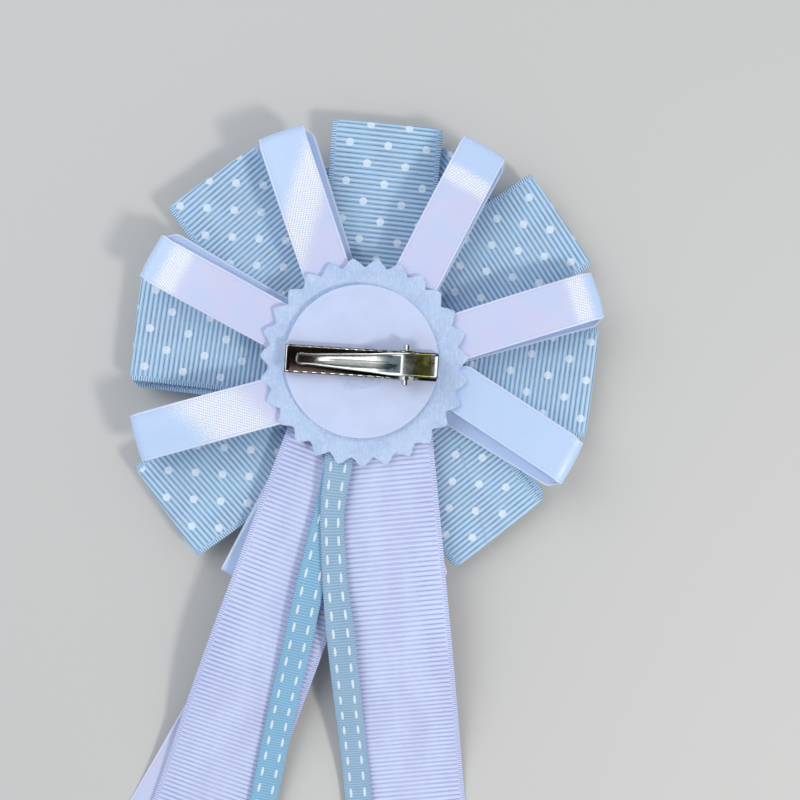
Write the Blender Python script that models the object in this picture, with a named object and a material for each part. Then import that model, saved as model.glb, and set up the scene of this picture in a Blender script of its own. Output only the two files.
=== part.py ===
"""Ribbon rosette lying face down, its clip upwards, as separate closed solids. Lengths below are in millimetres."""

import math
from collections import namedtuple

import bmesh
import bpy
from mathutils import Matrix, Vector

MM = 0.001
TAU = 2.0 * math.pi

# Ribbon and sheet sizes
CLOTH = 1.0
GAP = 0.3
DOTTED_WIDTH = 38.0
SATIN_WIDTH = 16.0
STITCHED_WIDTH = 9.5
DOTTED_START = 18.0
SATIN_START = 25.0

# Heights of the stack over the table
BUTTON_DIAMETER = 50.0
BUTTON_HEIGHT = 3.0
FRONT_FLOOR = BUTTON_HEIGHT + GAP
FRONT_TOP = FRONT_FLOOR + 2.3
DOT_FLOOR = FRONT_TOP + GAP
DOT_TOP = DOT_FLOOR + 2.1
SATIN_FLOOR = DOT_TOP + GAP
FLAT_TOP = SATIN_FLOOR + 2.3
TAIL_STEP = CLOTH + GAP
SATIN_TAIL_FLOOR = FLAT_TOP + GAP
LEFT_TAIL_FLOOR = SATIN_TAIL_FLOOR + TAIL_STEP
RIGHT_TAIL_FLOOR = LEFT_TAIL_FLOOR + TAIL_STEP
LEFT_TEAL_FLOOR = RIGHT_TAIL_FLOOR + TAIL_STEP
RIGHT_TEAL_FLOOR = LEFT_TEAL_FLOOR + TAIL_STEP
SATIN_TOP = RIGHT_TEAL_FLOOR + CLOTH
FELT_FLOOR = SATIN_TOP + GAP
FELT_THICKNESS = 1.5
CARD_FLOOR = FELT_FLOOR + FELT_THICKNESS + GAP
CARD_THICKNESS = 1.0
CARD_DIAMETER = 50.8
CLIP_FLOOR = CARD_FLOOR + CARD_THICKNESS + GAP

# Loops: direction and reach of the middle of the fold, direction of the loop's own line, and how far the
# front half turns aside from it, angles in degrees from +X
Loop = namedtuple("Loop", "name tip_deg reach line_deg skew_deg flat")
DOT_LOOPS = (
    Loop("dot_loop_1", 84.0, 81.9, 84.8, 0.0, False),
    Loop("dot_loop_2", 36.0, 83.6, 33.7, 0.0, False),
    Loop("dot_loop_3", -5.0, 78.4, -7.5, 0.0, False),
    Loop("dot_loop_4", -51.6, 74.8, -52.4, 2.0, True),
    Loop("dot_loop_8", -97.3, 77.0, -97.3, 0.0, True),
    Loop("dot_loop_5", -143.0, 84.2, -144.8, 0.0, False),
    Loop("dot_loop_6", 170.4, 78.4, 173.2, 2.0, False),
    Loop("dot_loop_7", 128.7, 81.9, 124.9, 0.0, False),
)
SATIN_LOOPS = (
    Loop("satin_loop_1", 109.6, 80.8, 108.4, -3.0, False),
    Loop("satin_loop_2", 60.2, 81.6, 59.8, -1.0, False),
    Loop("satin_loop_3", 16.0, 81.4, 12.9, -1.5, False),
    Loop("satin_loop_4", -25.6, 77.6, -28.1, -5.0, False),
    Loop("satin_loop_8", -74.0, 77.0, -74.0, 0.0, True),
    Loop("satin_loop_7", -119.3, 85.2, -119.3, -1.5, True),
    Loop("satin_loop_5", -161.6, 79.2, -165.7, 0.0, False),
    Loop("satin_loop_6", 153.5, 78.4, 151.3, -3.5, False),
)
FRONT_LOOPS = (
    Loop("front_loop_1", 107.0, 69.0, 107.0, 0.0, False),
    Loop("front_loop_2", 55.9, 73.4, 48.0, 0.0, False),
    Loop("front_loop_3", 15.0, 60.0, 15.0, 0.0, False),
    Loop("front_loop_4", -28.0, 60.0, -28.0, 0.0, False),
    Loop("front_loop_5", -74.0, 60.0, -74.0, 0.0, False),
    Loop("front_loop_6", -120.0, 60.0, -120.0, 0.0, False),
    Loop("front_loop_7", -164.0, 55.0, -164.0, 0.0, False),
    Loop("front_loop_8", 151.0, 60.0, 151.0, 0.0, False),
)

# Heights along a loop: share of the way from its inner end to its fold, then the middle of the front half
# and the middle of the back half
Rise = namedtuple("Rise", "share front back")
HALF = CLOTH / 2.0
DOT_RISE = (
    Rise(0.00, DOT_FLOOR + HALF, DOT_TOP - HALF),
    Rise(0.34, DOT_FLOOR + HALF, DOT_TOP - HALF),
    Rise(0.66, DOT_FLOOR + HALF, DOT_TOP - HALF),
    Rise(0.78, DOT_FLOOR + HALF, DOT_TOP - HALF + 0.5),
    Rise(0.90, DOT_FLOOR + HALF, DOT_TOP - HALF + 1.4),
    Rise(1.00, DOT_FLOOR + HALF, DOT_TOP - HALF + 2.2),
)
SATIN_RISE = (
    Rise(0.00, SATIN_FLOOR + HALF, SATIN_TOP - HALF),
    Rise(0.25, SATIN_FLOOR + HALF, SATIN_TOP - HALF),
    Rise(0.50, SATIN_FLOOR + HALF + 1.8, SATIN_TOP - HALF + 0.9),
    Rise(0.75, SATIN_FLOOR + HALF + 3.6, SATIN_TOP - HALF + 2.1),
    Rise(1.00, SATIN_FLOOR + HALF + 4.6, SATIN_TOP - HALF + 2.9),
)
FLAT_DOT_RISE = (
    Rise(0.00, DOT_FLOOR + HALF, DOT_TOP - HALF),
    Rise(1.00, DOT_FLOOR + HALF, DOT_TOP - HALF),
)
FLAT_SATIN_RISE = (
    Rise(0.00, SATIN_FLOOR + HALF, FLAT_TOP - HALF),
    Rise(1.00, SATIN_FLOOR + HALF, FLAT_TOP - HALF),
)
FRONT_RISE = (
    Rise(0.00, FRONT_FLOOR + HALF, FRONT_TOP - HALF),
    Rise(0.55, FRONT_FLOOR + HALF - 0.9, FRONT_TOP - HALF),
    Rise(1.00, FRONT_FLOOR + HALF - 2.1, FRONT_TOP - HALF - 0.4),
)
PLY_STATIONS = 9
FOLD_STEPS = 6

# Tails: middle line as X at each Y, level near the felt, then dropping to the table
DROP_FROM = -86.0
DROP_TO = -156.0
TailPoint = namedtuple("TailPoint", "y x width")
Tail = namedtuple("Tail", "name start end cut high low points")
TAILS = (
    Tail("satin_tail", -20.0, -176.0, 6.0, SATIN_TAIL_FLOOR, 0.0, (
        TailPoint(-20.0, 5.5, SATIN_WIDTH), TailPoint(-184.0, -91.1, SATIN_WIDTH))),
    Tail("white_tail_left", -14.0, -182.0, 12.0, LEFT_TAIL_FLOOR, TAIL_STEP, (
        TailPoint(-14.0, -2.2, DOTTED_WIDTH), TailPoint(-196.0, -70.2, DOTTED_WIDTH))),
    Tail("white_tail_right", -14.0, -192.0, -12.0, RIGHT_TAIL_FLOOR, 0.0, (
        TailPoint(-14.0, 3.6, DOTTED_WIDTH), TailPoint(-206.0, 21.6, DOTTED_WIDTH))),
    Tail("stitched_tail_left", -26.0, -178.0, 4.0, LEFT_TEAL_FLOOR, 2.0 * TAIL_STEP, (
        TailPoint(-26.0, -6.5, STITCHED_WIDTH), TailPoint(-47.3, -10.5, STITCHED_WIDTH),
        TailPoint(-62.1, -14.2, STITCHED_WIDTH), TailPoint(-76.9, -17.9, STITCHED_WIDTH),
        TailPoint(-94.1, -21.6, STITCHED_WIDTH), TailPoint(-120.7, -28.2, STITCHED_WIDTH),
        TailPoint(-153.0, -35.2, STITCHED_WIDTH), TailPoint(-186.0, -42.0, STITCHED_WIDTH))),
    Tail("stitched_tail_right", -26.0, -184.0, -4.0, RIGHT_TEAL_FLOOR, TAIL_STEP, (
        TailPoint(-26.0, -7.6, STITCHED_WIDTH), TailPoint(-34.0, -7.7, STITCHED_WIDTH),
        TailPoint(-40.5, -8.9, 8.8), TailPoint(-50.2, -10.1, 8.0), TailPoint(-59.3, -9.9, 8.0),
        TailPoint(-77.2, -8.8, 8.6), TailPoint(-88.1, -7.4, STITCHED_WIDTH),
        TailPoint(-123.3, -4.5, STITCHED_WIDTH), TailPoint(-150.0, -2.2, STITCHED_WIDTH),
        TailPoint(-192.0, 1.2, STITCHED_WIDTH))),
)

# Felt disc with its pinked edge
FELT_TEETH = 27
FELT_TIP_RADIUS = 34.9
FELT_NOTCH_RADIUS = 31.8
FELT_NOTCH_DEG = 9.2
FELT_CENTRE = (0.7, -0.2)
FELT_RINGS = (8.0, 16.0, 22.0, 26.0, 29.5)
FELT_SAG = 2.4
FELT_LEVEL_RADIUS = 22.0
FELT_SAG_WIDTH = 9.0
SAG_BELOW_Y = -21.0
SAG_FADE_Y = 6.0
SAG_LEFT_OF_X = -14.0
SAG_RIGHT_OF_X = -1.0
SAG_FADE_X = 4.0

# Clip: it reaches almost across the card, and places along it, from its prong tip to its thumb end, are
# shares of its half length; its turn on the card is in degrees
CLIP_TURN_DEG = -3.6
CLIP_CENTRE = (0.0, -0.5)
SHEET_METAL = 0.6
CLIP_END_INSET = 0.4
BASE_HALF_LENGTH = CARD_DIAMETER / 2.0 - CLIP_END_INSET
BASE_HALF_WIDTH = 4.6
TEETH_END_SHARE = 0.36
PIVOT_X = 0.6 * BASE_HALF_LENGTH
PIVOT_Z = 4.4
PIN_RADIUS = 0.8
PIN_HOLE_RADIUS = PIN_RADIUS + GAP
PIN_HALF_LENGTH = 6.8
PIN_HEAD_RADIUS = 1.5
PIN_HEAD_LENGTH = 1.9
COIL_RADIUS = 1.4
COIL_WIRE_RADIUS = 0.25
COIL_TURNS = 5
BASE_WALL = 2.6
TOOTH_PITCH = 3.0
TOOTH_DEPTH = 0.5
BaseStation = namedtuple("BaseStation", "share wall")
BASE_REAR = (
    BaseStation(0.36, 2.6), BaseStation(0.46, 3.4), BaseStation(0.512, 6.2), BaseStation(0.688, 6.2),
    BaseStation(0.744, 3.2), BaseStation(0.82, 1.8), BaseStation(0.972, 1.8),
)
LeverStation = namedtuple("LeverStation", "share half_width plate rim flange bead")
LEVER = (
    LeverStation(-0.86, 0.7, 1.2, 0.25, 0.05, 0.05),
    LeverStation(-0.84, 1.5, 1.1, 0.45, 0.05, 0.05),
    LeverStation(-0.8, 2.0, 1.0, 0.60, 0.05, 0.05),
    LeverStation(-0.72, 1.9, 1.0, 0.60, 0.05, 0.05),
    LeverStation(-0.54, 2.1, 1.2, 0.55, 0.05, 0.05),
    LeverStation(-0.44, 2.2, 1.4, 0.55, 0.05, 0.60),
    LeverStation(-0.2, 2.6, 2.0, 0.55, 0.05, 0.65),
    LeverStation(0.0, 2.9, 2.7, 0.60, 0.05, 0.65),
    LeverStation(0.2, 3.2, 3.7, 0.60, 0.20, 0.65),
    LeverStation(0.36, 3.6, 4.8, 0.60, 0.80, 0.60),
    LeverStation(0.48, 3.7, 5.8, 0.60, 2.80, 0.30),
    LeverStation(0.528, 3.7, 6.3, 0.60, 3.60, 0.05),
    LeverStation(0.672, 3.7, 6.5, 0.70, 3.80, 0.05),
    LeverStation(0.72, 3.7, 6.6, 0.80, 2.40, 0.05),
    LeverStation(0.8, 3.8, 6.9, 0.90, 0.60, 0.05),
    LeverStation(0.92, 3.8, 7.3, 0.95, 0.05, 0.05),
    LeverStation(0.976, 3.8, 7.5, 1.00, 0.05, 0.05),
)

Finish = namedtuple("Finish", "name colour metallic roughness")
FINISHES = (
    Finish("dotted_grosgrain", (0.28, 0.48, 0.68), 0.0, 0.8),
    Finish("white_satin", (0.78, 0.83, 0.93), 0.0, 0.3),
    Finish("white_grosgrain", (0.70, 0.77, 0.92), 0.0, 0.8),
    Finish("teal_grosgrain", (0.18, 0.40, 0.60), 0.0, 0.8),
    Finish("felt", (0.45, 0.62, 0.85), 0.0, 1.0),
    Finish("button_cloth", (0.70, 0.77, 0.92), 0.0, 0.7),
    Finish("card", (0.62, 0.70, 0.88), 0.0, 0.6),
    Finish("chrome", (0.62, 0.63, 0.62), 1.0, 0.2),
)


def clear_scene():
    """Remove whatever the start-up scene holds."""
    for thing in list(bpy.data.objects):
        bpy.data.objects.remove(thing, do_unlink=True)


def between(x, a, b, at_a, at_b):
    """Value at x on the straight line from (a, at_a) to (b, at_b)."""
    return at_a + (at_b - at_a) * (x - a) / (b - a)


def read_table(rows, column, key, x):
    """Value of one column at key = x, on straight lines between the rows of a table."""
    keys = [getattr(row, key) for row in rows]
    values = [getattr(row, column) for row in rows]
    rising = keys[-1] > keys[0]
    for i in range(len(rows) - 1):
        inside = x <= keys[i + 1] if rising else x >= keys[i + 1]
        if inside or i == len(rows) - 2:
            return between(x, keys[i], keys[i + 1], values[i], values[i + 1])
    return values[-1]


def smoothstep(share):
    """Ease from 0 to 1 with level ends."""
    share = min(1.0, max(0.0, share))
    return share * share * (3.0 - 2.0 * share)


def material(name):
    """The material of this name, made the first time it is asked for on an object."""
    return bpy.data.materials[name]


def make_materials():
    """One Principled material for each finish."""
    for finish in FINISHES:
        made = bpy.data.materials.new(finish.name)
        made.use_nodes = True
        shader = made.node_tree.nodes["Principled BSDF"]
        shader.inputs["Base Color"].default_value = (*finish.colour, 1.0)
        shader.inputs["Metallic"].default_value = finish.metallic
        shader.inputs["Roughness"].default_value = finish.roughness
        made.diffuse_color = (*finish.colour, 1.0)


def make_object(name, points, faces, finish, smooth=False, origin=(0.0, 0.0, 0.0), turn_deg=0.0):
    """A mesh object from points in millimetres, its faces turned outwards, with its own copy of the finish."""
    mesh = bpy.data.meshes.new(name)
    work = bmesh.new()
    made = [work.verts.new([c * MM for c in point]) for point in points]
    for face in faces:
        work.faces.new([made[i] for i in face])
    bmesh.ops.recalc_face_normals(work, faces=work.faces)
    for face in work.faces:
        face.smooth = smooth
    work.to_mesh(mesh)
    work.free()
    own = material(finish).copy()
    own.name = name + "_" + finish
    mesh.materials.append(own)
    thing = bpy.data.objects.new(name, mesh)
    thing.location = [c * MM for c in origin]
    thing.rotation_euler = (0.0, 0.0, math.radians(turn_deg))
    bpy.context.collection.objects.link(thing)
    return thing


def tube_faces(rings, across):
    """Quads round a row of closed rings of equal size, with a face over each end."""
    faces = []
    for i in range(rings - 1):
        for j in range(across):
            k = (j + 1) % across
            faces.append((i * across + j, i * across + k, (i + 1) * across + k, (i + 1) * across + j))
    faces.append(tuple(range(across)))
    faces.append(tuple((rings - 1) * across + j for j in range(across)))
    return faces


def loop_middle_line(loop, inner, rise):
    """Stations of a loop in its own plane: (s, z, direction s, direction z, front share)."""
    fold_s = loop.reach * math.cos(math.radians(loop.tip_deg - loop.line_deg))
    radius = (rise[-1].back - rise[-1].front) / 2.0
    last_s = fold_s - radius - HALF
    line = []
    for i in range(PLY_STATIONS):
        share = i / (PLY_STATIONS - 1)
        line.append((between(share, 0.0, 1.0, inner, last_s), read_table(rise, "front", "share", share), 1.0))
    middle = (rise[-1].back + rise[-1].front) / 2.0
    for i in range(1, FOLD_STEPS):
        turn = math.pi * i / FOLD_STEPS - math.pi / 2.0
        line.append((last_s + radius * math.cos(turn), middle + radius * math.sin(turn), 1.0 - i / FOLD_STEPS))
    for i in range(PLY_STATIONS):
        share = 1.0 - i / (PLY_STATIONS - 1)
        line.append((between(share, 0.0, 1.0, inner, last_s), read_table(rise, "back", "share", share), 0.0))
    return fold_s, line


def side_limit(s, turn_deg):
    """Most sideways reach at s before the plane half-way to a neighbour turn_deg away, keeping half a gap."""
    turn = math.radians(turn_deg)
    return (s * math.sin(turn) - GAP / 2.0) / math.cos(turn)


def ribbon_loop(loop, before, after, width, inner, rise, finish):
    """One hairpin loop of ribbon, narrowed near the middle so that it never reaches its neighbours."""
    fold_s, line = loop_middle_line(loop, inner, rise)
    aside = loop.reach * math.sin(math.radians(loop.tip_deg - loop.line_deg))
    upper = ((after.tip_deg - loop.tip_deg) % 360.0) / 2.0 + loop.tip_deg - loop.line_deg
    lower = ((loop.tip_deg - before.tip_deg) % 360.0) / 2.0 - loop.tip_deg + loop.line_deg
    skew = math.tan(math.radians(loop.skew_deg))
    along = Vector((math.cos(math.radians(loop.line_deg)), math.sin(math.radians(loop.line_deg)), 0.0))
    across = Vector((-along.y, along.x, 0.0))
    points = []
    for i, (s, z, front) in enumerate(line):
        first = line[max(0, i - 1)]
        last = line[min(len(line) - 1, i + 1)]
        run = math.hypot(last[0] - first[0], last[1] - first[1])
        normal_s = -(last[1] - first[1]) / run
        normal_z = (last[0] - first[0]) / run
        for side in (1.0, -1.0):
            at = s + side * HALF * normal_s
            middle = aside + front * skew * (fold_s - at)
            high = min(middle + width / 2.0, side_limit(at, upper))
            low = max(middle - width / 2.0, -side_limit(at, lower))
            ends = (low, high) if side > 0 else (high, low)
            for p in ends:
                points.append(along * at + across * p + Vector((0.0, 0.0, z + side * HALF * normal_z)))
    return make_object(loop.name, points, tube_faces(len(line), 4), finish)


def ring_of_loops(loops, width, inner, rise, flat_rise, finish):
    """Every loop of one tier, listed in order against the clock so that each knows its neighbours."""
    for i, loop in enumerate(loops):
        after = loops[i - 1]
        before = loops[(i + 1) % len(loops)]
        ribbon_loop(loop, before, after, width, inner, flat_rise if loop.flat else rise, finish)


def tail_heights(tail, y):
    """Height of a tail's underside at y, the same curve for all tails so that they never cross."""
    share = smoothstep((y - DROP_TO) / (DROP_FROM - DROP_TO))
    return tail.low + (tail.high - tail.low) * share


def shared_rows():
    """Y of the rows that all tails share."""
    step = (DROP_FROM - DROP_TO) / 8.0
    first = [-14.0, -20.0, -26.0, -34.0, -40.5, -47.3, -54.0, -62.1, -70.0, -77.0]
    drop = [DROP_FROM - step * i for i in range(9)]
    return first + drop + [-165.0]


def ribbon_tail(tail, finish):
    """One hanging tail, cut slanting at its free end."""
    rows = [y for y in shared_rows() if tail.end + abs(tail.cut) < y <= tail.start] + [tail.end]
    points = []
    for y in rows:
        slope = (read_table(tail.points, "x", "y", y - 1.0) - read_table(tail.points, "x", "y", y + 1.0)) / 2.0
        half = read_table(tail.points, "width", "y", y) / 2.0 * math.hypot(1.0, slope)
        middle = read_table(tail.points, "x", "y", y)
        floor = tail_heights(tail, y)
        slant = tail.cut if y == tail.end else 0.0
        left = Vector((middle - half - slope * slant, y + slant, floor))
        right = Vector((middle + half + slope * slant, y - slant, floor))
        lift = Vector((0.0, 0.0, CLOTH))
        points += [left, right, right + lift, left + lift]
    return make_object(tail.name, points, tube_faces(len(rows), 4), finish)


def felt_underside(x, y):
    """Height of the felt's underside: it sags at the rim where it lies on the flat white tails."""
    rim = smoothstep((math.hypot(x, y) - FELT_LEVEL_RADIUS) / FELT_SAG_WIDTH)
    below = smoothstep((SAG_BELOW_Y - y) / SAG_FADE_Y)
    left = below * smoothstep((SAG_LEFT_OF_X - x) / SAG_FADE_X)
    right = below * smoothstep((x - SAG_RIGHT_OF_X) / SAG_FADE_X)
    return FELT_FLOOR - FELT_SAG * rim * max(left, right)


def felt_disc():
    """The felt disc as two grids of rings, joined along the pinked edge."""
    sides = 2 * FELT_TEETH
    rings = []
    for radius in FELT_RINGS:
        rings.append([radius] * sides)
    rings.append([FELT_NOTCH_RADIUS if j % 2 == 0 else FELT_TIP_RADIUS for j in range(sides)])
    points = []
    for lift in (0.0, FELT_THICKNESS):
        for radii in rings:
            for j, radius in enumerate(radii):
                angle = math.radians(FELT_NOTCH_DEG) + TAU * j / sides
                x = FELT_CENTRE[0] + radius * math.cos(angle)
                y = FELT_CENTRE[1] + radius * math.sin(angle)
                points.append((x, y, felt_underside(x, y) + lift))
    top = len(rings) * sides
    faces = []
    for i in range(len(rings) - 1):
        for j in range(sides):
            k = (j + 1) % sides
            a, b, c, d = i * sides + j, i * sides + k, (i + 1) * sides + k, (i + 1) * sides + j
            faces.append((a, b, c, d))
            faces.append((top + a, top + d, top + c, top + b))
    outer = (len(rings) - 1) * sides
    for j in range(sides):
        k = (j + 1) % sides
        faces.append((outer + j, outer + k, top + outer + k, top + outer + j))
    faces.append(tuple(range(sides)))
    faces.append(tuple(top + j for j in range(sides)))
    return make_object("felt_disc", points, faces, "felt")


def turned(name, profile, sides, finish):
    """A closed body turned round the Z axis from a profile of (radius, z), bottom to top."""
    points = []
    for radius, z in profile:
        for j in range(sides):
            points.append((radius * math.cos(TAU * j / sides), radius * math.sin(TAU * j / sides), z))
    return make_object(name, points, tube_faces(len(profile), sides), finish)


def front_button():
    """The flat covered button on the front, on whose face the rosette lies."""
    r = BUTTON_DIAMETER / 2.0
    profile = ((r - 3.0, 0.0), (r - 1.2, 0.35), (r - 0.2, 1.2), (r, 2.0), (r - 0.4, BUTTON_HEIGHT))
    return turned("front_button", profile, 48, "button_cloth")


def card_disc():
    """The plain card disc under the clip."""
    r = CARD_DIAMETER / 2.0
    low, high = CARD_FLOOR, CARD_FLOOR + CARD_THICKNESS
    profile = ((r - 0.15, low), (r, low + 0.15), (r, high - 0.15), (r - 0.15, high))
    return turned("card_disc", profile, 72, "card")


def clip_origin(x=0.0, z=0.0):
    """A point on the clip's middle line, in the shared frame."""
    turn = math.radians(CLIP_TURN_DEG)
    return (CLIP_CENTRE[0] + x * math.cos(turn), CLIP_CENTRE[1] + x * math.sin(turn), CLIP_FLOOR + z)


def cut_pin_hole(thing, x, z):
    """Cut the pin's hole across a clip piece, at a point of the piece's own frame."""
    bpy.ops.mesh.primitive_cylinder_add(vertices=20, radius=PIN_HOLE_RADIUS * MM, depth=4.0 * PIN_HALF_LENGTH * MM)
    cutter = bpy.context.object
    cutter.name = thing.name + "_hole"
    place = Matrix.Translation((x * MM, 0.0, z * MM)) @ Matrix.Rotation(math.pi / 2.0, 4, "X")
    cutter.matrix_world = thing.matrix_world @ place
    cutter.hide_render = True
    cutter.display_type = "WIRE"
    cut = thing.modifiers.new("pin_hole", "BOOLEAN")
    cut.operation = "DIFFERENCE"
    cut.solver = "EXACT"
    cut.object = cutter


def base_stations():
    """Stations of the base: solid end lips, toothed side walls, then the ears that hold the pin."""
    end = BASE_HALF_LENGTH
    stations = [(-end, 2.0, 2.0), (-end + SHEET_METAL, 2.0, 2.0), (-end + SHEET_METAL + 0.05, BASE_WALL, SHEET_METAL)]
    teeth_end = TEETH_END_SHARE * end
    count = round((teeth_end + end - 2.0) / TOOTH_PITCH)
    for i in range(2 * count):
        x = between(i, 0, 2 * count, -end + 1.6, teeth_end)
        stations.append((x, BASE_WALL - (TOOTH_DEPTH if i % 2 else 0.0), SHEET_METAL))
    stations += [(row.share * end, row.wall, SHEET_METAL) for row in BASE_REAR]
    stations += [(end - SHEET_METAL + 0.05, 1.8, 1.8), (end, 1.8, 1.8)]
    return stations


def clip_base():
    """The clip's base: a tray of sheet metal with ears."""
    outer, inner = BASE_HALF_WIDTH, BASE_HALF_WIDTH - SHEET_METAL
    points = []
    stations = base_stations()
    for x, wall, floor in stations:
        middle = min(floor, wall)
        points += [
            (x, -outer, 0.0), (x, outer, 0.0), (x, outer, wall), (x, inner, wall),
            (x, inner, middle), (x, -inner, middle), (x, -inner, wall), (x, -outer, wall),
        ]
    for x_index in (0, 1, len(stations) - 2, len(stations) - 1):
        for k in (4, 5):
            x, y, z = points[8 * x_index + k]
            points[8 * x_index + k] = (x, y, z - 0.02)
    base = make_object(
        "clip_base", points, tube_faces(len(stations), 8), "chrome",
        origin=clip_origin(), turn_deg=CLIP_TURN_DEG,
    )
    bpy.context.view_layer.update()
    cut_pin_hole(base, PIVOT_X, PIVOT_Z)
    return base


def clip_lever():
    """The prong and thumb lever in one piece, its origin on the pin's axis."""
    points = []
    stations = [(row.share * BASE_HALF_LENGTH, row) for row in LEVER]
    end, last = stations[-1]
    lip = last._replace(plate=last.plate + last.rim - 0.05, rim=0.05)
    stations += [(end + 0.05, lip), (end + SHEET_METAL, lip)]
    for x, row in stations:
        outer = row.half_width
        inner = outer - min(SHEET_METAL, 0.45 * outer)
        bead = inner * 0.45
        top = row.plate + SHEET_METAL - PIVOT_Z
        low = row.plate - PIVOT_Z
        if x > end:
            low = last.plate - PIVOT_Z
        section = (
            (-outer, low - row.flange), (-outer, top + row.rim), (-inner, top + row.rim), (-inner, top),
            (-bead, top), (0.0, top + row.bead), (bead, top), (inner, top),
            (inner, top + row.rim), (outer, top + row.rim), (outer, low - row.flange), (inner, low - row.flange),
            (inner, low), (-inner, low), (-inner, low - row.flange),
        )
        points += [(x - PIVOT_X, y, z) for y, z in section]
    lever = make_object(
        "clip_lever", points, tube_faces(len(stations), 15), "chrome",
        origin=clip_origin(PIVOT_X, PIVOT_Z), turn_deg=CLIP_TURN_DEG,
    )
    bpy.context.view_layer.update()
    cut_pin_hole(lever, 0.0, 0.0)
    return lever


def clip_pin():
    """The pin with a flat head at each end."""
    profile = (
        (-PIN_HALF_LENGTH, PIN_HEAD_RADIUS - 0.2), (-PIN_HALF_LENGTH + 0.2, PIN_HEAD_RADIUS),
        (-PIN_HALF_LENGTH + PIN_HEAD_LENGTH, PIN_HEAD_RADIUS), (-PIN_HALF_LENGTH + PIN_HEAD_LENGTH, PIN_RADIUS),
        (PIN_HALF_LENGTH - PIN_HEAD_LENGTH, PIN_RADIUS), (PIN_HALF_LENGTH - PIN_HEAD_LENGTH, PIN_HEAD_RADIUS),
        (PIN_HALF_LENGTH - 0.2, PIN_HEAD_RADIUS), (PIN_HALF_LENGTH, PIN_HEAD_RADIUS - 0.2),
    )
    sides = 20
    points = []
    for y, radius in profile:
        for j in range(sides):
            points.append((radius * math.cos(TAU * j / sides), y, radius * math.sin(TAU * j / sides)))
    return make_object(
        "clip_pin", points, tube_faces(len(profile), sides), "chrome",
        origin=clip_origin(PIVOT_X, PIVOT_Z), turn_deg=CLIP_TURN_DEG,
    )


def clip_spring():
    """The coil of the spring round the pin."""
    steps, sides = 14, 6
    pitch = 2.0 * COIL_WIRE_RADIUS + 0.25
    points = []
    for i in range(COIL_TURNS * steps + 1):
        turn = TAU * i / steps
        y = pitch * (i / steps - COIL_TURNS / 2.0)
        for j in range(sides):
            radius = COIL_RADIUS + COIL_WIRE_RADIUS * math.cos(TAU * j / sides)
            shift = COIL_WIRE_RADIUS * math.sin(TAU * j / sides)
            points.append((radius * math.cos(turn), y + shift, radius * math.sin(turn)))
    return make_object(
        "clip_spring", points, tube_faces(COIL_TURNS * steps + 1, sides), "chrome", smooth=True,
        origin=clip_origin(PIVOT_X, PIVOT_Z), turn_deg=CLIP_TURN_DEG,
    )


def main():
    """Build every piece of the rosette."""
    clear_scene()
    make_materials()
    front_button()
    ring_of_loops(FRONT_LOOPS, DOTTED_WIDTH, DOTTED_START, FRONT_RISE, FRONT_RISE, "dotted_grosgrain")
    ring_of_loops(DOT_LOOPS, DOTTED_WIDTH, DOTTED_START, DOT_RISE, FLAT_DOT_RISE, "dotted_grosgrain")
    ring_of_loops(SATIN_LOOPS, SATIN_WIDTH, SATIN_START, SATIN_RISE, FLAT_SATIN_RISE, "white_satin")
    tail_finish = {
        "satin_tail": "white_satin",
        "white_tail_left": "white_grosgrain",
        "white_tail_right": "white_grosgrain",
        "stitched_tail_left": "teal_grosgrain",
        "stitched_tail_right": "teal_grosgrain",
    }
    for tail in TAILS:
        ribbon_tail(tail, tail_finish[tail.name])
    felt_disc()
    card_disc()
    clip_base()
    clip_lever()
    clip_pin()
    clip_spring()


main()
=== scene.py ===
"""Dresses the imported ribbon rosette, which lies face down with its clip upwards, and lights it on a pale table."""

from __future__ import annotations

import bisect
import logging
import math
from collections.abc import Callable, Iterator
from contextlib import contextmanager
from dataclasses import dataclass
from enum import Enum

import bmesh
import bpy
from mathutils import Matrix, Vector

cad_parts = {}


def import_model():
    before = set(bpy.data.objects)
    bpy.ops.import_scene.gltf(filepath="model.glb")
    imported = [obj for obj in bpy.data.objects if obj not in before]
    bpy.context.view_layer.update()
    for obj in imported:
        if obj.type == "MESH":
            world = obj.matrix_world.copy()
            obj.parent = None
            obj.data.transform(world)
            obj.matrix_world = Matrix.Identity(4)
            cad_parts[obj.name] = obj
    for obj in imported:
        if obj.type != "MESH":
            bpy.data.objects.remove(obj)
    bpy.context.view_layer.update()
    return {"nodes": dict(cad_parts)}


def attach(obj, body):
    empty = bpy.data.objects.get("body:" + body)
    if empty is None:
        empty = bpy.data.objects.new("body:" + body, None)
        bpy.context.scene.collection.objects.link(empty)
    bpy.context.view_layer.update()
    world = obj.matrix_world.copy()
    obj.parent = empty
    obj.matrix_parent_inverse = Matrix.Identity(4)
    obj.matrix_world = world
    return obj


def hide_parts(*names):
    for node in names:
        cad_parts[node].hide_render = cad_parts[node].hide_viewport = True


MM = 0.001
TAU = 2.0 * math.pi
LOG = logging.getLogger("rosette")
WEAVE_MAP = "weave"
PRINT_MAP = "print"
RIBBON_WIDTH = 38.0
SATIN_WIDTH = 16.0
TEAL_WIDTH = 9.5
RIB_PITCH = 1.65
TEAL_RIB_PITCH = 1.0
TEAL_SELVAGE = 1.2
CARD_RADIUS = 25.5

Triple = tuple[float, float, float]
Socket = bpy.types.NodeSocket
Material = bpy.types.Material
Thing = bpy.types.Object
Point = bmesh.types.BMVert


class Side(Enum):
    """Which face of a ribbon carries its print."""

    OUTER = 0
    INNER = 1


class Weave(Enum):
    """How a ribbon is woven."""

    RIBBED = "ribbed"
    SATIN = "satin"


# ---- Materials


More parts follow.
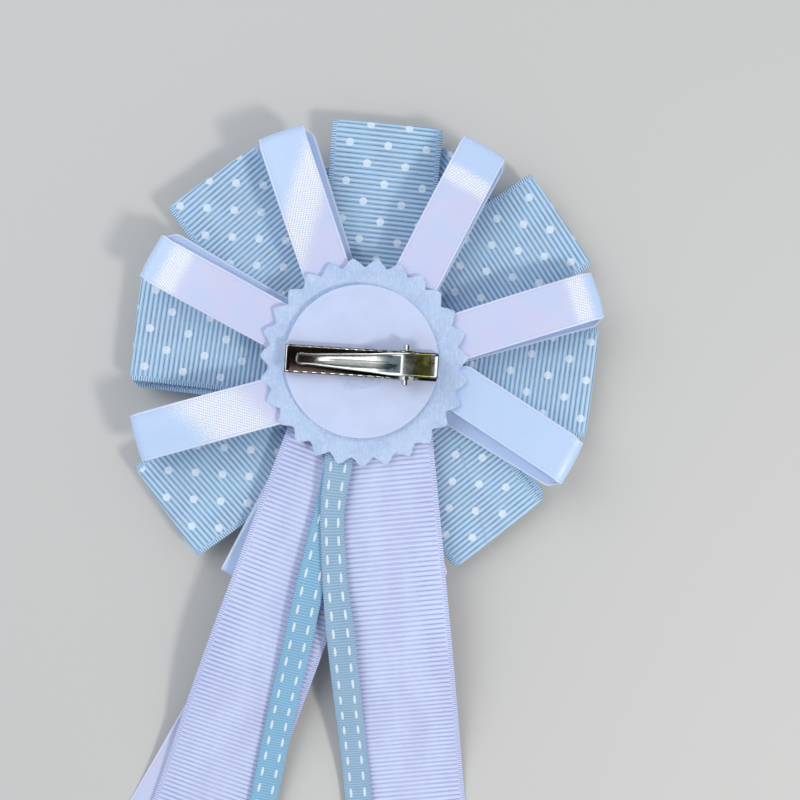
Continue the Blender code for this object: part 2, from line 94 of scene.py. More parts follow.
class Wiring:
    """Adds and joins the nodes of one material, or of the sky."""

    def __init__(self, owner: Material | bpy.types.World, shader: str = "Principled BSDF") -> None:
        """Start with the owner's own shader.

        Args:
            owner: the new material or world.
            shader: its shader node's name.
        """
        owner.use_nodes = True
        self.owner = owner
        self.tree = owner.node_tree
        self.shader = self.tree.nodes[shader]

    def node(self, kind: str, *inputs: object, **settings: object) -> bpy.types.Node:
        """Add a node.

        Args:
            kind: the node's type name.
            inputs: what its first inputs take, in order.
            settings: its properties.

        Returns:
            The node.
        """
        made = self.tree.nodes.new(kind)
        for key, value in settings.items():
            setattr(made, key, value)
        for socket, value in zip(made.inputs, inputs):
            self.feed(socket, value)
        return made

    def feed(self, socket: Socket, value: object) -> None:
        """Link a socket to another, or give it a constant.

        Args:
            socket: an input.
            value: an output, or a number, colour or vector.
        """
        if isinstance(value, Socket):
            self.tree.links.new(value, socket)
        else:
            socket.default_value = value

    def math(self, operation: str, a: object, b: object = 0.0) -> Socket:
        """A Math node's result."""
        return self.node("ShaderNodeMath", a, b, operation=operation).outputs[0]

    def times(self, first: object, *others: object) -> Socket:
        """The product of all values.

        Args:
            first: the first value.
            others: the rest.

        Returns:
            Their product.
        """
        for other in others:
            first = self.math("MULTIPLY", first, other)
        return first

    def plus(self, a: object, b: object) -> Socket:
        """The sum of two values."""
        return self.math("ADD", a, b)

    def minus(self, a: object, b: object) -> Socket:
        """One value less another."""
        return self.math("SUBTRACT", a, b)

    def size(self, value: object) -> Socket:
        """A value without its sign."""
        return self.math("ABSOLUTE", value)

    def wave(self, value: object, period: float) -> Socket:
        """A sine of a value, with this period."""
        return self.math("SINE", self.times(value, TAU / period))

    def radius(self, x: object, y: object) -> Socket:
        """The distance of x, y from the origin."""
        return self.math("SQRT", self.plus(self.times(x, x), self.times(y, y)))

    def step(self, value: object, low: float, high: float, to_low: float = 0.0, to_high: float = 1.0) -> Socket:
        """A smooth step of value from to_low at low to to_high at high."""
        made = self.node("ShaderNodeMapRange", value, low, high, to_low, to_high, interpolation_type="SMOOTHSTEP")
        return made.outputs[0]

    def fall(self, value: object, low: float, high: float) -> Socket:
        """A smooth step from 1 at low down to 0 at high."""
        return self.step(value, low, high, 1.0, 0.0)

    def between(self, value: object, low: float, full: float, still: float, high: float) -> Socket:
        """1 from full to still, eased to 0 at low and at high."""
        return self.times(self.step(value, low, full), self.fall(value, still, high))

    def mix(self, factor: object, a: object, b: object) -> Socket:
        """Mix two colours.

        Args:
            factor: 0 gives a, 1 gives b.
            a: a colour or a socket.
            b: a colour or a socket.

        Returns:
            The mixed colour.
        """
        made = self.node("ShaderNodeMix", factor, data_type="RGBA")
        for socket, value in ((made.inputs[6], a), (made.inputs[7], b)):
            self.feed(socket, (*value, 1.0) if isinstance(value, tuple) and len(value) == 3 else value)
        return made.outputs[2]

    def layer(self, base: object, colour: object, strength: float, *masks: object) -> Socket:
        """Lay a colour over a base where every mask lets it."""
        return self.mix(self.times(*masks, strength), base, colour)

    def noise(self, vector: object, scale: float, detail: float = 2.0, roughness: float = 0.5) -> Socket:
        """Add a Noise texture.

        Args:
            vector: where it is read.
            scale: its scale.
            detail: its detail.
            roughness: its roughness.

        Returns:
            Its value.
        """
        made = self.node("ShaderNodeTexNoise")
        for key, value in (("Vector", vector), ("Scale", scale), ("Detail", detail), ("Roughness", roughness)):
            self.feed(made.inputs[key], value)
        return made.outputs[0]

    def stretched(self, vector: object, x: float, y: float, z: float = 1.0) -> Socket:
        """A vector with each part multiplied by its own number."""
        return self.node("ShaderNodeVectorMath", vector, (x, y, z), operation="MULTIPLY").outputs[0]

    def parts(self, vector: object) -> tuple[Socket, Socket, Socket]:
        """The three parts of a vector."""
        return tuple(self.node("ShaderNodeSeparateXYZ", vector).outputs)

    def place(self) -> Socket:
        """The piece's own coordinates in millimetres."""
        coordinates = self.node("ShaderNodeTexCoord").outputs["Object"]
        return self.stretched(coordinates, 1.0 / MM, 1.0 / MM, 1.0 / MM)

    def cloth_place(self, name: str) -> tuple[Socket, Socket, Socket]:
        """One of the ribbon's own maps, in millimetres.

        Args:
            name: the map's name.

        Returns:
            The whole vector, the place across the ribbon and the place along it.
        """
        made = self.node("ShaderNodeUVMap", uv_map=name).outputs[0]
        return (made, *self.parts(made)[:2])

    def bump(self, height: object, distance_mm: float, strength: float = 1.0) -> None:
        """Give the shader a bump.

        Args:
            height: the height, 0 to 1.
            distance_mm: how far 1 stands out, in millimetres.
            strength: how strong it is.
        """
        made = self.node("ShaderNodeBump")
        for key, value in (("Strength", strength), ("Distance", distance_mm * MM), ("Height", height)):
            self.feed(made.inputs[key], value)
        self.feed(self.shader.inputs["Normal"], made.outputs[0])

    def set(self, **values: object) -> None:
        """Set or link the shader's inputs, their names written with underscores."""
        for key, value in values.items():
            self.feed(self.shader.inputs[key.replace("_", " ").title().replace("Ior", "IOR")], value)


@dataclass(frozen=True)
class Grosgrain:
    """Ribbed ribbon, plain or dotted: sizes in millimetres."""

    name: str
    crest: Triple
    colour: Triple
    groove: Triple
    clouded: Triple
    width: float
    rib_pitch: float
    dots: bool = False
    selvage: float = 1.7
    # The next two set how strong the painted shade in the grooves is, overall and in the ribbon's middle.
    groove_shade: float = 0.9
    middle_groove_shade: float = 1.0
    loop_pitch: float = 0.82
    thread_pitch: float = 0.52
    dot_pitch: tuple[float, float] = (13.2, 13.0)
    dot_radius: float = 1.35
    dotted_half: float = 16.9
    dot_colour: Triple = (0.74, 0.85, 0.96)

    def build(self) -> Material:
        """Make the material: clouded cloth, a painted highlight on the crests, painted shade in the grooves, a looped
        edge and the print.

        Returns:
            The material.
        """
        w = Wiring(bpy.data.materials.new(self.name))
        plane, u, v = w.cloth_place(WEAVE_MAP)
        valley = w.times(w.size(w.minus(w.math("FRACT", w.math("DIVIDE", v, self.rib_pitch)), 0.5)), 2.0)
        edge, ribbed_half = w.size(u), self.width / 2.0 - self.selvage
        inside = w.fall(edge, ribbed_half - 0.3, ribbed_half + 0.1)
        streaks = w.noise(w.stretched(plane, 0.30, 1.6), 1.3, 3.0, 0.6)
        longer = w.stretched(plane, 1.0, 0.35)
        grains = w.noise(plane, 2.6, 3.0, 0.7)
        base = w.mix(w.step(w.noise(longer, 0.07), 0.38, 0.62, 0.0, 0.8), self.colour, self.clouded)
        base = w.mix(w.step(streaks, 0.35, 0.7, 0.0, 0.22), base, self.groove)
        # Painted highlight: the crests of the ribs are painted paler.
        base = w.mix(w.times(w.step(valley, 0.02, 0.40, 0.85, 0.0), inside), base, self.crest)
        # Painted shade: the grooves are darkened, unevenly along the ribbon and less in its middle than near its edges.
        uneven = w.step(w.noise(longer, 0.11), 0.36, 0.64, 0.62, 1.0)
        edge_groove_shade = w.step(edge, self.width * 0.10, self.width * 0.34, self.middle_groove_shade, 1.0)
        dark = w.times(w.step(valley, 0.64, 0.95), inside, uneven, edge_groove_shade)
        base = w.layer(base, self.groove, self.groove_shade, dark)
        loops = w.wave(v, self.loop_pitch)
        fringe = w.step(edge, ribbed_half + 0.1, ribbed_half + 0.5)
        base = w.mix(w.times(w.step(loops, -0.2, 0.8, 0.0, 0.7), fringe), base, self.crest)
        holes = w.step(w.wave(v, -self.loop_pitch), 0.1, 0.8, 0.0, 0.85)
        base = w.mix(w.times(holes, fringe), base, self.groove)
        if self.dots:
            # The painted shade of the grooves darkens the dots too.
            base = w.mix(self.dot_mask(w, u), base, w.layer(self.dot_colour, base, 0.22, dark))
        base = w.mix(w.step(grains, 0.42, 0.75, 0.0, 0.22), base, self.crest)
        height = w.plus(w.times(w.wave(u, self.thread_pitch), 0.15), w.times(streaks, 0.8))
        w.bump(w.plus(height, w.times(loops, fringe, 0.7)), 0.07, 0.9)
        w.set(base_color=base, roughness=w.step(grains, 0.3, 0.7, 0.46, 0.62), specular_ior_level=0.42)
        w.set(sheen_weight=0.08, sheen_roughness=0.4)
        return w.owner

    def dot_mask(self, w: Wiring, u: Socket) -> Socket:
        """Where the polka dots are: two lattices of one pitch, half a pitch apart.

        Args:
            w: the material's wiring.
            u: place across the ribbon.

        Returns:
            A socket that is 1 in a dot and 0 outside.
        """
        _, across, along = w.cloth_place(PRINT_MAP)
        masks = []
        for shift in (0.0, 0.5):
            off = []
            for value, pitch in zip((across, along), self.dot_pitch):
                turns = w.plus(w.math("DIVIDE", value, pitch), shift + 40.5)
                off.append(w.times(w.minus(w.math("FRACT", turns), 0.5), pitch))
            masks.append(w.fall(w.radius(*off), self.dot_radius - 0.11, self.dot_radius + 0.11))
        printed = w.fall(w.size(u), self.dotted_half - 0.3, self.dotted_half + 0.3)
        return w.times(w.math("MAXIMUM", *masks), printed)


@dataclass(frozen=True)
class SatinWeave:
    """Glossy satin with stitched edges, on which light is painted: a cooler painted shade near the fold, a painted
    highlight band of bright weave, then the warmer colour.
    """

    name: str
    colour: Triple
    cool: Triple
    shade: Triple
    bright: Triple
    width: float
    twill_pitch: float = 1.5
    cross_pitch: float = 1.0
    thread_pitch: float = 0.55
    stitch_pitch: float = 0.9

    def build(self) -> Material:
        """Make the material.

        Returns:
            The material.
        """
        w = Wiring(bpy.data.materials.new(self.name))
        plane, u, v = w.cloth_place(WEAVE_MAP)
        # The print map places each satin loop's painted highlight band.
        _, _, sheen_band_place = w.cloth_place(PRINT_MAP)
        grain = w.noise(plane, 2.2, 3.0, 0.65)
        ragged = w.plus(sheen_band_place, w.step(grain, 0.2, 0.8, -0.35, 0.35))
        painted_sheen_band = w.fall(w.size(ragged), 0.35, 1.05)
        twill = w.wave(w.plus(u, w.times(v, 0.6)), self.twill_pitch)
        cross = w.wave(w.minus(v, w.times(u, 0.35)), self.cross_pitch)
        threads = w.plus(w.times(twill, cross), w.step(grain, 0.3, 0.7, -0.4, 0.4))
        weave = w.step(threads, -0.6, 0.35)
        fine = w.step(w.wave(u, self.thread_pitch), -0.8, 0.8)
        # Painted shade: the fold side is cooler and bluer than the rest.
        base = w.mix(w.step(sheen_band_place, -1.0, 0.6), self.cool, self.colour)
        base = w.mix(w.step(w.noise(plane, 0.10), 0.35, 0.65, 0.0, 0.4), base, self.cool)
        base = w.layer(base, self.shade, 0.16, fine, weave)
        # Painted highlight: the band is bright, with the weave showing in it.
        painted_sheen_weave = w.mix(weave, w.mix(0.35, self.shade, self.bright), self.bright)
        base = w.layer(base, painted_sheen_weave, 0.95, painted_sheen_band)
        edge = w.minus(self.width / 2.0, w.size(u))
        hem = w.fall(edge, 0.60, 0.80)
        stitches = w.step(w.wave(v, self.stitch_pitch), -0.1, 0.8)
        base = w.layer(base, self.bright, 0.30, hem)
        base = w.layer(base, self.shade, 0.34, stitches, hem)
        # Painted shade in the crease just inside the hem.
        base = w.layer(base, self.shade, 0.35, w.between(edge, 0.65, 0.85, 0.9, 1.2))
        height = w.plus(w.times(weave, 0.6), w.times(grain, 0.9))
        w.bump(w.minus(height, w.times(stitches, hem, 0.6)), 0.05, 0.8)
        w.set(base_color=base, roughness=w.step(grain, 0.3, 0.7, 0.27, 0.42), specular_ior_level=0.6)
        w.set(sheen_weight=0.05, sheen_roughness=0.3, coat_weight=0.1, coat_roughness=0.25)
        return w.owner


@dataclass(frozen=True)
class FeltCloth:
    """Pressed felt: matte, cloudy and a little hairy."""

    name: str
    colour: Triple
    shade: Triple

    def build(self) -> Material:
        """Make the material.

        Returns:
            The material.
        """
        w = Wiring(bpy.data.materials.new(self.name))
        place = w.place()
        hairs = w.noise(w.stretched(place, 1.0, 0.28), 1.5, 4.0, 0.7)
        fuzz = w.noise(place, 1.2, 5.0, 0.75)
        base = w.mix(w.step(w.noise(place, 0.11, 3.0), 0.35, 0.65, 0.0, 0.65), self.colour, self.shade)
        base = w.mix(w.step(fuzz, 0.38, 0.70, 0.0, 0.55), base, self.shade)
        base = w.mix(w.step(hairs, 0.46, 0.66, 0.0, 0.55), base, tuple(min(1.0, c * 1.15) for c in self.colour))
        w.bump(w.plus(w.times(hairs, 0.8), fuzz), 0.38, 1.0)
        w.set(base_color=base, roughness=0.95, sheen_weight=0.2, sheen_roughness=0.5, specular_ior_level=0.15)
        return w.owner


@dataclass(frozen=True)
class PlainCard:
    """Smooth card with a faint mottle, paler along its cut edge."""

    name: str
    colour: Triple
    rim_colour: Triple = (0.62, 0.72, 0.95)

    def build(self) -> Material:
        """Make the material.

        Returns:
            The material.
        """
        w = Wiring(bpy.data.materials.new(self.name))
        place = w.place()
        mottle = w.noise(place, 0.10, 3.0, 0.6)
        fibre = w.noise(place, 2.2, 4.0, 0.7)
        base = w.mix(w.step(mottle, 0.35, 0.68), self.colour, tuple(c * 0.95 for c in self.colour))
        rim = w.step(w.radius(*w.parts(place)[:2]), CARD_RADIUS - 0.9, CARD_RADIUS - 0.2)
        base = w.layer(base, self.rim_colour, 0.5, rim)
        w.bump(w.plus(fibre, w.times(mottle, 2.0)), 0.03, 0.6)
        w.set(base_color=base, roughness=w.step(fibre, 0.3, 0.7, 0.42, 0.58), specular_ior_level=0.4)
        return w.owner


@dataclass(frozen=True)
class PolishedSteel:
    """Plated sheet steel with fine scratches and random smears, with painted shade and painted reflections on the tray
    and the lever.
    """

    name: str
    colour: Triple
    tray: bool = False
    roughness: float = 0.16

    def build(self) -> Material:
        """Make the material.

        Returns:
            The material.
        """
        w = Wiring(bpy.data.materials.new(self.name))
        place = w.place()
        scratches = w.noise(w.stretched(place, 0.12, 2.4, 2.4), 2.0, 4.0, 0.7)
        smears = w.noise(place, 0.35, 3.0, 0.6)
        base = w.mix(w.step(smears, 0.40, 0.70, 0.0, 0.7), self.colour, tuple(c * 0.72 for c in self.colour))
        # The clip's own frame, in which the painted shade and reflections are placed.
        turned = w.node("ShaderNodeMapping", place, vector_type="TEXTURE")
        turned.inputs["Location"].default_value = (*HairClip.centre, HairClip.floor)
        turned.inputs["Rotation"].default_value = (0.0, 0.0, math.radians(HairClip.turn_deg))
        painted_light = self.paint_tray_shade if self.tray else self.paint_lever_shade_and_reflections
        base = painted_light(w, base, *w.parts(turned.outputs[0]))
        w.bump(scratches, 0.02, 0.35)
        rough = w.plus(w.step(smears, 0.35, 0.7, self.roughness * 0.7, self.roughness * 1.5), w.times(scratches, 0.05))
        w.set(base_color=base, metallic=1.0, roughness=rough)
        return w.owner

    @staticmethod
    def paint_tray_shade(w: Wiring, base: Socket, along: Socket, across: Socket, high: Socket) -> Socket:
        """Paint shade and dark reflections into the tray's hollow, across its ends and along its brims.

        Args:
            w: the material's wiring.
            base: the metal's colour.
            along: place along the clip.
            across: place across it.
            high: height over its floor.

        Returns:
            The marked colour.
        """
        # Painted shade and dark reflection in the hollow, at the ends and along the brims.
        base = w.layer(base, (0.060, 0.028, 0.020), 0.93, w.fall(high, 1.7, 2.05))
        base = w.layer(base, (0.01, 0.01, 0.01), 0.95, w.step(w.size(along), 24.62, 24.72))
        return w.layer(base, (0.02, 0.018, 0.016), 0.93, w.step(w.size(across), 4.22, 4.36))

    @staticmethod
    def paint_lever_shade_and_reflections(w: Wiring, base: Socket, along: Socket, across: Socket, _: Socket) -> Socket:
        """Paint shade into the lever's dent, onto its plate and into its hollow tip, a cream highlight along its ridge
        and an olive reflection on its thumb end.

        Args:
            w: the material's wiring.
            base: the metal's colour.
            along: place along the clip.
            across: place across it.
            _: height, not used.

        Returns:
            The colour with painted shade, highlight and reflection.
        """
        off = w.size(across)
        # Painted shade in a small dent near the pin.
        dent = w.radius(w.minus(along, 11.3), w.plus(across, 0.3))
        base = w.mix(w.fall(dent, 0.25, 0.62), base, (0.015, 0.04, 0.015))
        # Painted shade on the plate and in the hollow tip, and a painted cream highlight along the ridge.
        for colour, strength, reach, inner, outer in (
                ((0.045, 0.06, 0.07), 0.96, (3.0, 9.0, 12.7, 13.3), 2.6, 3.0),
                ((0.70, 0.60, 0.46), 0.5, (-15.0, -11.0, 3.0, 9.0), 0.35, 0.7),
                ((0.06, 0.025, 0.02), 0.9, (-21.0, -20.4, -17.4, -14.5), 0.9, 1.3)):
            base = w.layer(base, colour, strength, w.between(along, *reach), w.fall(off, inner, outer))
        # Painted olive reflection on the thumb end.
        return w.layer(base, (0.36, 0.34, 0.07), 0.85, w.between(along, 16.2, 18.2, 22.2, 23.3))


@dataclass(frozen=True)
class HotGlue:
    """Cloudy clear glue."""

    name: str

    def build(self) -> Material:
        """Make the material.

        Returns:
            The material.
        """
        w = Wiring(bpy.data.materials.new(self.name))
        place = w.place()
        base = w.mix(w.step(w.noise(place, 0.6, 3.0), 0.3, 0.7), (0.56, 0.63, 0.86), (0.63, 0.70, 0.93))
        w.bump(w.noise(place, 0.9), 0.12, 0.8)
        w.set(base_color=base, roughness=0.28, transmission_weight=0.1, specular_ior_level=0.5)
        return w.owner


@dataclass(frozen=True)
class PlainWeave:
    """The woven cover of the front button, or the sewing thread."""

    name: str
    colour: Triple
    pitch: float = 0.7

    def build(self) -> Material:
        """Make the material.

        Returns:
            The material.
        """
        w = Wiring(bpy.data.materials.new(self.name))
        place = w.place()
        x, y, _ = w.parts(place)
        weave = w.times(w.plus(w.times(w.wave(x, self.pitch), w.wave(y, self.pitch)), 1.0), 0.5)
        base = w.layer(self.colour, tuple(c * 0.8 for c in self.colour), 0.6, weave)
        w.bump(w.plus(weave, w.noise(place, 2.0, 3.0)), 0.06, 0.8)
        w.set(base_color=base, roughness=0.8, sheen_weight=0.3, specular_ior_level=0.3)
        return w.owner


@dataclass(frozen=True)
class PaleTable:
    """The plain table under the rosette."""

    name: str
    colour: Triple

    def build(self) -> Material:
        """Make the material.

        Returns:
            The material.
        """
        w = Wiring(bpy.data.materials.new(self.name))
        w.set(base_color=(*self.colour, 1.0), roughness=0.9, specular_ior_level=0.2)
        return w.owner


# ---- Helpers for modelling by hand


def deselect_all() -> None:
    """Leave nothing selected or active."""
    if bpy.context.object and bpy.context.object.mode != "OBJECT":
        bpy.ops.object.mode_set(mode="OBJECT")
    bpy.ops.object.select_all(action="DESELECT")


def focus(piece: Thing) -> None:
    """Select one piece alone and make it active.

    Args:
        piece: the object.
    """
    deselect_all()
    piece.select_set(True)
    bpy.context.view_layer.objects.active = piece


@contextmanager
def editing() -> Iterator[None]:
    """Work on the active piece in edit mode.

    Yields:
        Nothing.
    """
    bpy.ops.object.mode_set(mode="EDIT")
    yield
    bpy.ops.object.mode_set(mode="OBJECT")


def apply_place(piece: Thing) -> Thing:
    """Put a piece's place, turn and scale into its mesh.

    Args:
        piece: the object.

    Returns:
        The piece.
    """
    focus(piece)
    bpy.ops.object.transform_apply(location=True, rotation=True, scale=True)
    return piece


def add_block(length: float, width: float, height: float, middle: float = 0.0) -> Thing:
    """Add a block that stands on its own floor, its length along X.

    Args:
        length: along X, in millimetres, as all of them.
        width: along Y.
        height: along Z.
        middle: where its middle is along X.

    Returns:
        The block.
    """
    deselect_all()
    bpy.ops.mesh.primitive_cube_add(size=1.0, location=(middle * MM, 0.0, height / 2.0 * MM))
    bpy.context.object.scale = (length * MM, width * MM, height * MM)
    return apply_place(bpy.context.object)


def add_round(sides: int, radius: float, depth: float, spot: Triple, lying: bool = False) -> Thing:
    """Add a cylinder.

    Args:
        sides: how many sides it has.
        radius: in millimetres, as all of them.
        depth: its length.
        spot: its middle.
        lying: its axis is along Y, not upright.

    Returns:
        The cylinder.
    """
    deselect_all()
    bpy.ops.mesh.primitive_cylinder_add(
        vertices=sides, radius=radius * MM, depth=depth * MM, location=[c * MM for c in spot],
        rotation=(math.pi / 2.0 if lying else 0.0, 0.0, 0.0))
    return apply_place(bpy.context.object)


def pick(piece: Thing, test: Callable[[Vector, Vector], bool], kind: str = "FACE") -> None:
    """Select, in edit mode, the faces or points whose centre passes a test.

    Args:
        piece: the object in edit mode.
        test: a function of a centre, in millimetres, and a normal.
        kind: FACE or VERT.
    """
    bpy.ops.mesh.select_mode(type=kind)
    bpy.ops.mesh.select_all(action="DESELECT")
    work = bmesh.from_edit_mesh(piece.data)
    for part in work.faces if kind == "FACE" else work.verts:
        centre = part.calc_center_median() if kind == "FACE" else part.co
        if test(centre / MM, part.normal):
            part.select_set(True)
    work.select_flush_mode()
    bmesh.update_edit_mesh(piece.data)


def slice_at(axis: int, values: list[float]) -> None:
    """Cut the whole mesh in edit mode across an axis.

    Args:
        axis: 0 for X, 1 for Y, 2 for Z.
        values: where, in millimetres.
    """
    normal = [0.0, 0.0, 0.0]
    normal[axis] = 1.0
    for value in values:
        bpy.ops.mesh.select_all(action="SELECT")
        bpy.ops.mesh.bisect(plane_co=[n * value * MM for n in normal], plane_no=normal)


def move(x: float = 0.0, y: float = 0.0, z: float = 0.0) -> None:
    """Move what is selected in edit mode, in millimetres."""
    bpy.ops.transform.translate(value=(x * MM, y * MM, z * MM))


def extrude(x: float = 0.0, y: float = 0.0, z: float = 0.0) -> None:
    """Extrude what is selected in edit mode, in millimetres."""
    bpy.ops.mesh.extrude_region_move(TRANSFORM_OT_translate={"value": (x * MM, y * MM, z * MM)})


def inset(thickness: float) -> None:
    """Inset the selected faces in edit mode, in millimetres."""
    bpy.ops.mesh.inset(thickness=thickness * MM)


def finish_modifier(piece: Thing, kind: str, **settings: object) -> None:
    """Add a modifier with these settings and apply it.

    Args:
        piece: the object.
        kind: the modifier's type.
        settings: its properties.
    """
    focus(piece)
    made = piece.modifiers.new(kind.lower(), kind)
    for key, value in settings.items():
        setattr(made, key, value)
    bpy.ops.object.modifier_apply(modifier=made.name)


def bevel(piece: Thing, width: float, sharp_deg: float, smooth_deg: float, segments: int = 2) -> None:
    """Bevel a piece's sharp edges, then shade it smooth but for those that are left.

    Args:
        piece: the object.
        width: the bevel's width in millimetres.
        sharp_deg: edges sharper than this are bevelled.
        smooth_deg: edges sharper than this stay sharp in its shading.
        segments: how many steps a bevel has.
    """
    finish_modifier(piece, "BEVEL", width=width * MM, segments=segments, limit_method="ANGLE",
                    angle_limit=math.radians(sharp_deg))
    smooth_by_angle(piece, smooth_deg)


def settle(piece: Thing, name: str, place: Matrix | None = None) -> Thing:
    """Name a finished piece and put its place into its mesh.

    Args:
        piece: the object, modelled round the origin.
        name: its final name.
        place: where it goes, or None if it is there.

    Returns:
        The piece.
    """
    piece.name = name
    piece.data.name = name
    piece.matrix_world = (place or Matrix.Identity(4)) @ piece.matrix_world
    return apply_place(piece)


def smooth_by_angle(piece: Thing, degrees: float = 35.0) -> None:
    """Shade a piece smooth except at its sharp edges."""
    focus(piece)
    bpy.ops.object.shade_smooth_by_angle(angle=math.radians(degrees))


def from_work(name: str, work: bmesh.types.BMesh) -> Thing:
    """Make an object of what mesh code has built.

    Args:
        name: the object's name.
        work: the built mesh, which is freed.

    Returns:
        The object.
    """
    mesh = bpy.data.meshes.new(name)
    work.to_mesh(mesh)
    work.free()
    piece = bpy.data.objects.new(name, mesh)
    bpy.context.collection.objects.link(piece)
    return piece


def dress(piece: Thing, material: Material, slot: str, body: str, *nodes: str) -> None:
    """Give a piece its material, hang it on its body and hide the CAD nodes that it stands for.

    Args:
        piece: the finished piece.
        material: what it is made of.
        slot: not used.
        body: the body that it rides on.
        nodes: the CAD nodes that it stands for.
    """
    if not piece.data.materials:
        piece.data.materials.append(material)
    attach(piece, body)
    if nodes:
        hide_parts(*nodes)
    LOG.info("%s: %d faces", piece.name, len(piece.data.polygons))


# ---- Ribbons


def smoothstep(share: float) -> float:
    """Ease from 0 to 1 with level ends."""
    share = min(1.0, max(0.0, share))
    return share * share * (3.0 - 2.0 * share)


def on_table(rows: tuple[tuple[float, ...], ...], key: float, column: int) -> float:
    """Read a table on straight lines between its rows.

    Args:
        rows: the table, its first column rising.
        key: where to read.
        column: which column.

    Returns:
        The value.
    """
    for first, last in zip(rows, rows[1:]):
        if key <= last[0] or last is rows[-1]:
            share = (key - first[0]) / (last[0] - first[0])
            return first[column] + (last[column] - first[column]) * share
    return rows[-1][column]


@dataclass
class Spot:
    """One point of a ribbon's middle surface, with its place on the ribbon's own maps, in millimetres."""

    place: Vector
    normal: Vector
    across: float
    printed: tuple[float, float]


@dataclass
class Ribbon:
    """How a ribbon is woven: sizes in millimetres."""

    width: float
    weave: Weave
    rib_pitch: float = RIB_PITCH
    rib_height: float = 0.26
    thickness: float = 0.30
    selvage: float = 1.7
    camber: float = 0.25
    satin_step: float = 1.1
    rib_shape: tuple[tuple[float, float], ...] = ((0.0, 0.0), (0.2, 0.72), (0.5, 1.0), (0.8, 0.72))

    def beats(self, length: float) -> list[tuple[float, float]]:
        """Where the rows of points lie along a ribbon.

        Args:
            length: the ribbon's length.

        Returns:
            Each row's place along it and its rib height from 0 to 1.
        """
        if self.weave is Weave.SATIN:
            count = max(8, round(length / self.satin_step))
            return [(length * i / count, 0.0) for i in range(count + 1)]
        ribs = range(int(length / self.rib_pitch))
        return [(i * self.rib_pitch + share * self.rib_pitch, height) for i in ribs
                for share, height in self.rib_shape] + [(length, 0.0)]

    def columns(self) -> list[tuple[float, float]]:
        """Where the columns of points lie across a ribbon.

        Returns:
            Each column's place from -1 to 1 and how much of the rib it takes.
        """
        half = self.width / 2.0
        if self.weave is Weave.SATIN:
            places = (0.0, 0.3, 0.6, (half - 1.0) / half, (half - 0.75) / half, (half - 0.2) / half, 1.0)
            lifts = (0.0, 0.0, 0.0, -0.2, 0.45, 0.45, 0.0)
        else:
            places = (0.0, 0.35, 0.7, (half - self.selvage - 0.1) / half, (half - self.selvage + 0.3) / half,
                      (half - 0.35) / half, 1.0)
            lifts = (1.0, 1.0, 1.0, 1.0, 0.15, 0.25, 0.0)
        left = [(-p, lift) for p, lift in zip(places[:0:-1], lifts[:0:-1])]
        return left + list(zip(places, lifts))

    def sheet(self, name: str, length: float, surface: Callable[[float, float], Spot]) -> tuple[Thing, float]:
        """Build the ribbon's closed sheet.

        Args:
            name: the piece's name.
            length: the ribbon's length.
            surface: gives the spot at a length along the ribbon and a place across it from -1 to 1.

        Returns:
            The object, and its flat area in square metres.
        """
        work = bmesh.new()
        weave = work.loops.layers.uv.new(WEAVE_MAP)
        dots = work.loops.layers.uv.new(PRINT_MAP)
        columns = self.columns()
        grids: list[list[list[Point]]] = [[], []]
        maps: dict[Point, tuple[tuple[float, float], tuple[float, float]]] = {}
        for at, rib in self.beats(length):
            lines: list[list[Point]] = [[], []]
            for place, share in columns:
                spot = surface(at, place)
                raised = share if self.weave is Weave.SATIN else rib * share
                lift = self.thickness / 2.0 + self.rib_height * raised
                if abs(place) == 1.0:
                    lift = self.thickness * 0.3
                curl = -self.camber * place * place
                for side, sign in ((Side.OUTER, 1.0), (Side.INNER, -1.0)):
                    point = work.verts.new((spot.place + spot.normal * (sign * lift + curl)) * MM)
                    maps[point] = ((spot.across, at), spot.printed)
                    lines[side.value].append(point)
            grids[0].append(lines[0])
            grids[1].append(lines[1])
        self.skin(work, grids)
        bmesh.ops.recalc_face_normals(work, faces=work.faces)
        for face in work.faces:
            face.smooth = True
            for corner in face.loops:
                corner[weave].uv, corner[dots].uv = maps[corner.vert]
        area = sum(face.calc_area() for face in work.faces) / 2.0
        return from_work(name, work), area

    @staticmethod
    def skin(work: bmesh.types.BMesh, grids: list[list[list[Point]]]) -> None:
        """Close two grids of points into one body, each face on its own material slot.

        Args:
            work: the mesh that holds the points.
            grids: the outer and the inner grid.
        """
        outer, inner = grids
        rows, across = len(outer), len(outer[0])
        for i in range(rows - 1):
            for j in range(across - 1):
                work.faces.new([outer[i][j], outer[i][j + 1], outer[i + 1][j + 1], outer[i + 1][j]])
                face = work.faces.new([inner[i + 1][j], inner[i + 1][j + 1], inner[i][j + 1], inner[i][j]])
                face.material_index = Side.INNER.value
            for j in (0, across - 1):
                work.faces.new([outer[i][j], outer[i + 1][j], inner[i + 1][j], inner[i][j]])
        for i in (0, rows - 1):
            for j in range(across - 1):
                work.faces.new([outer[i][j], outer[i][j + 1], inner[i][j + 1], inner[i][j]])


@dataclass(frozen=True)
class LoopPlace:
    """Where a loop lies: angles in degrees from +X, lengths in millimetres."""

    name: str
    tip_deg: float
    reach: float
    line_deg: float
    skew_deg: float = 0.0
    lean: float = 0.0
    grain_deg: float = 0.0
    dot_across: float = 0.0
    # On satin loops the next three place the painted highlight band; on dotted loops they place the dots.
    print_and_sheen_along: float = 0.0
    slant: float = 0.0
    spread: float = 1.0
    bow: float = 0.4
    flat: bool = False
    turn_deg: float = 0.0
    divide_deg: float = 0.0


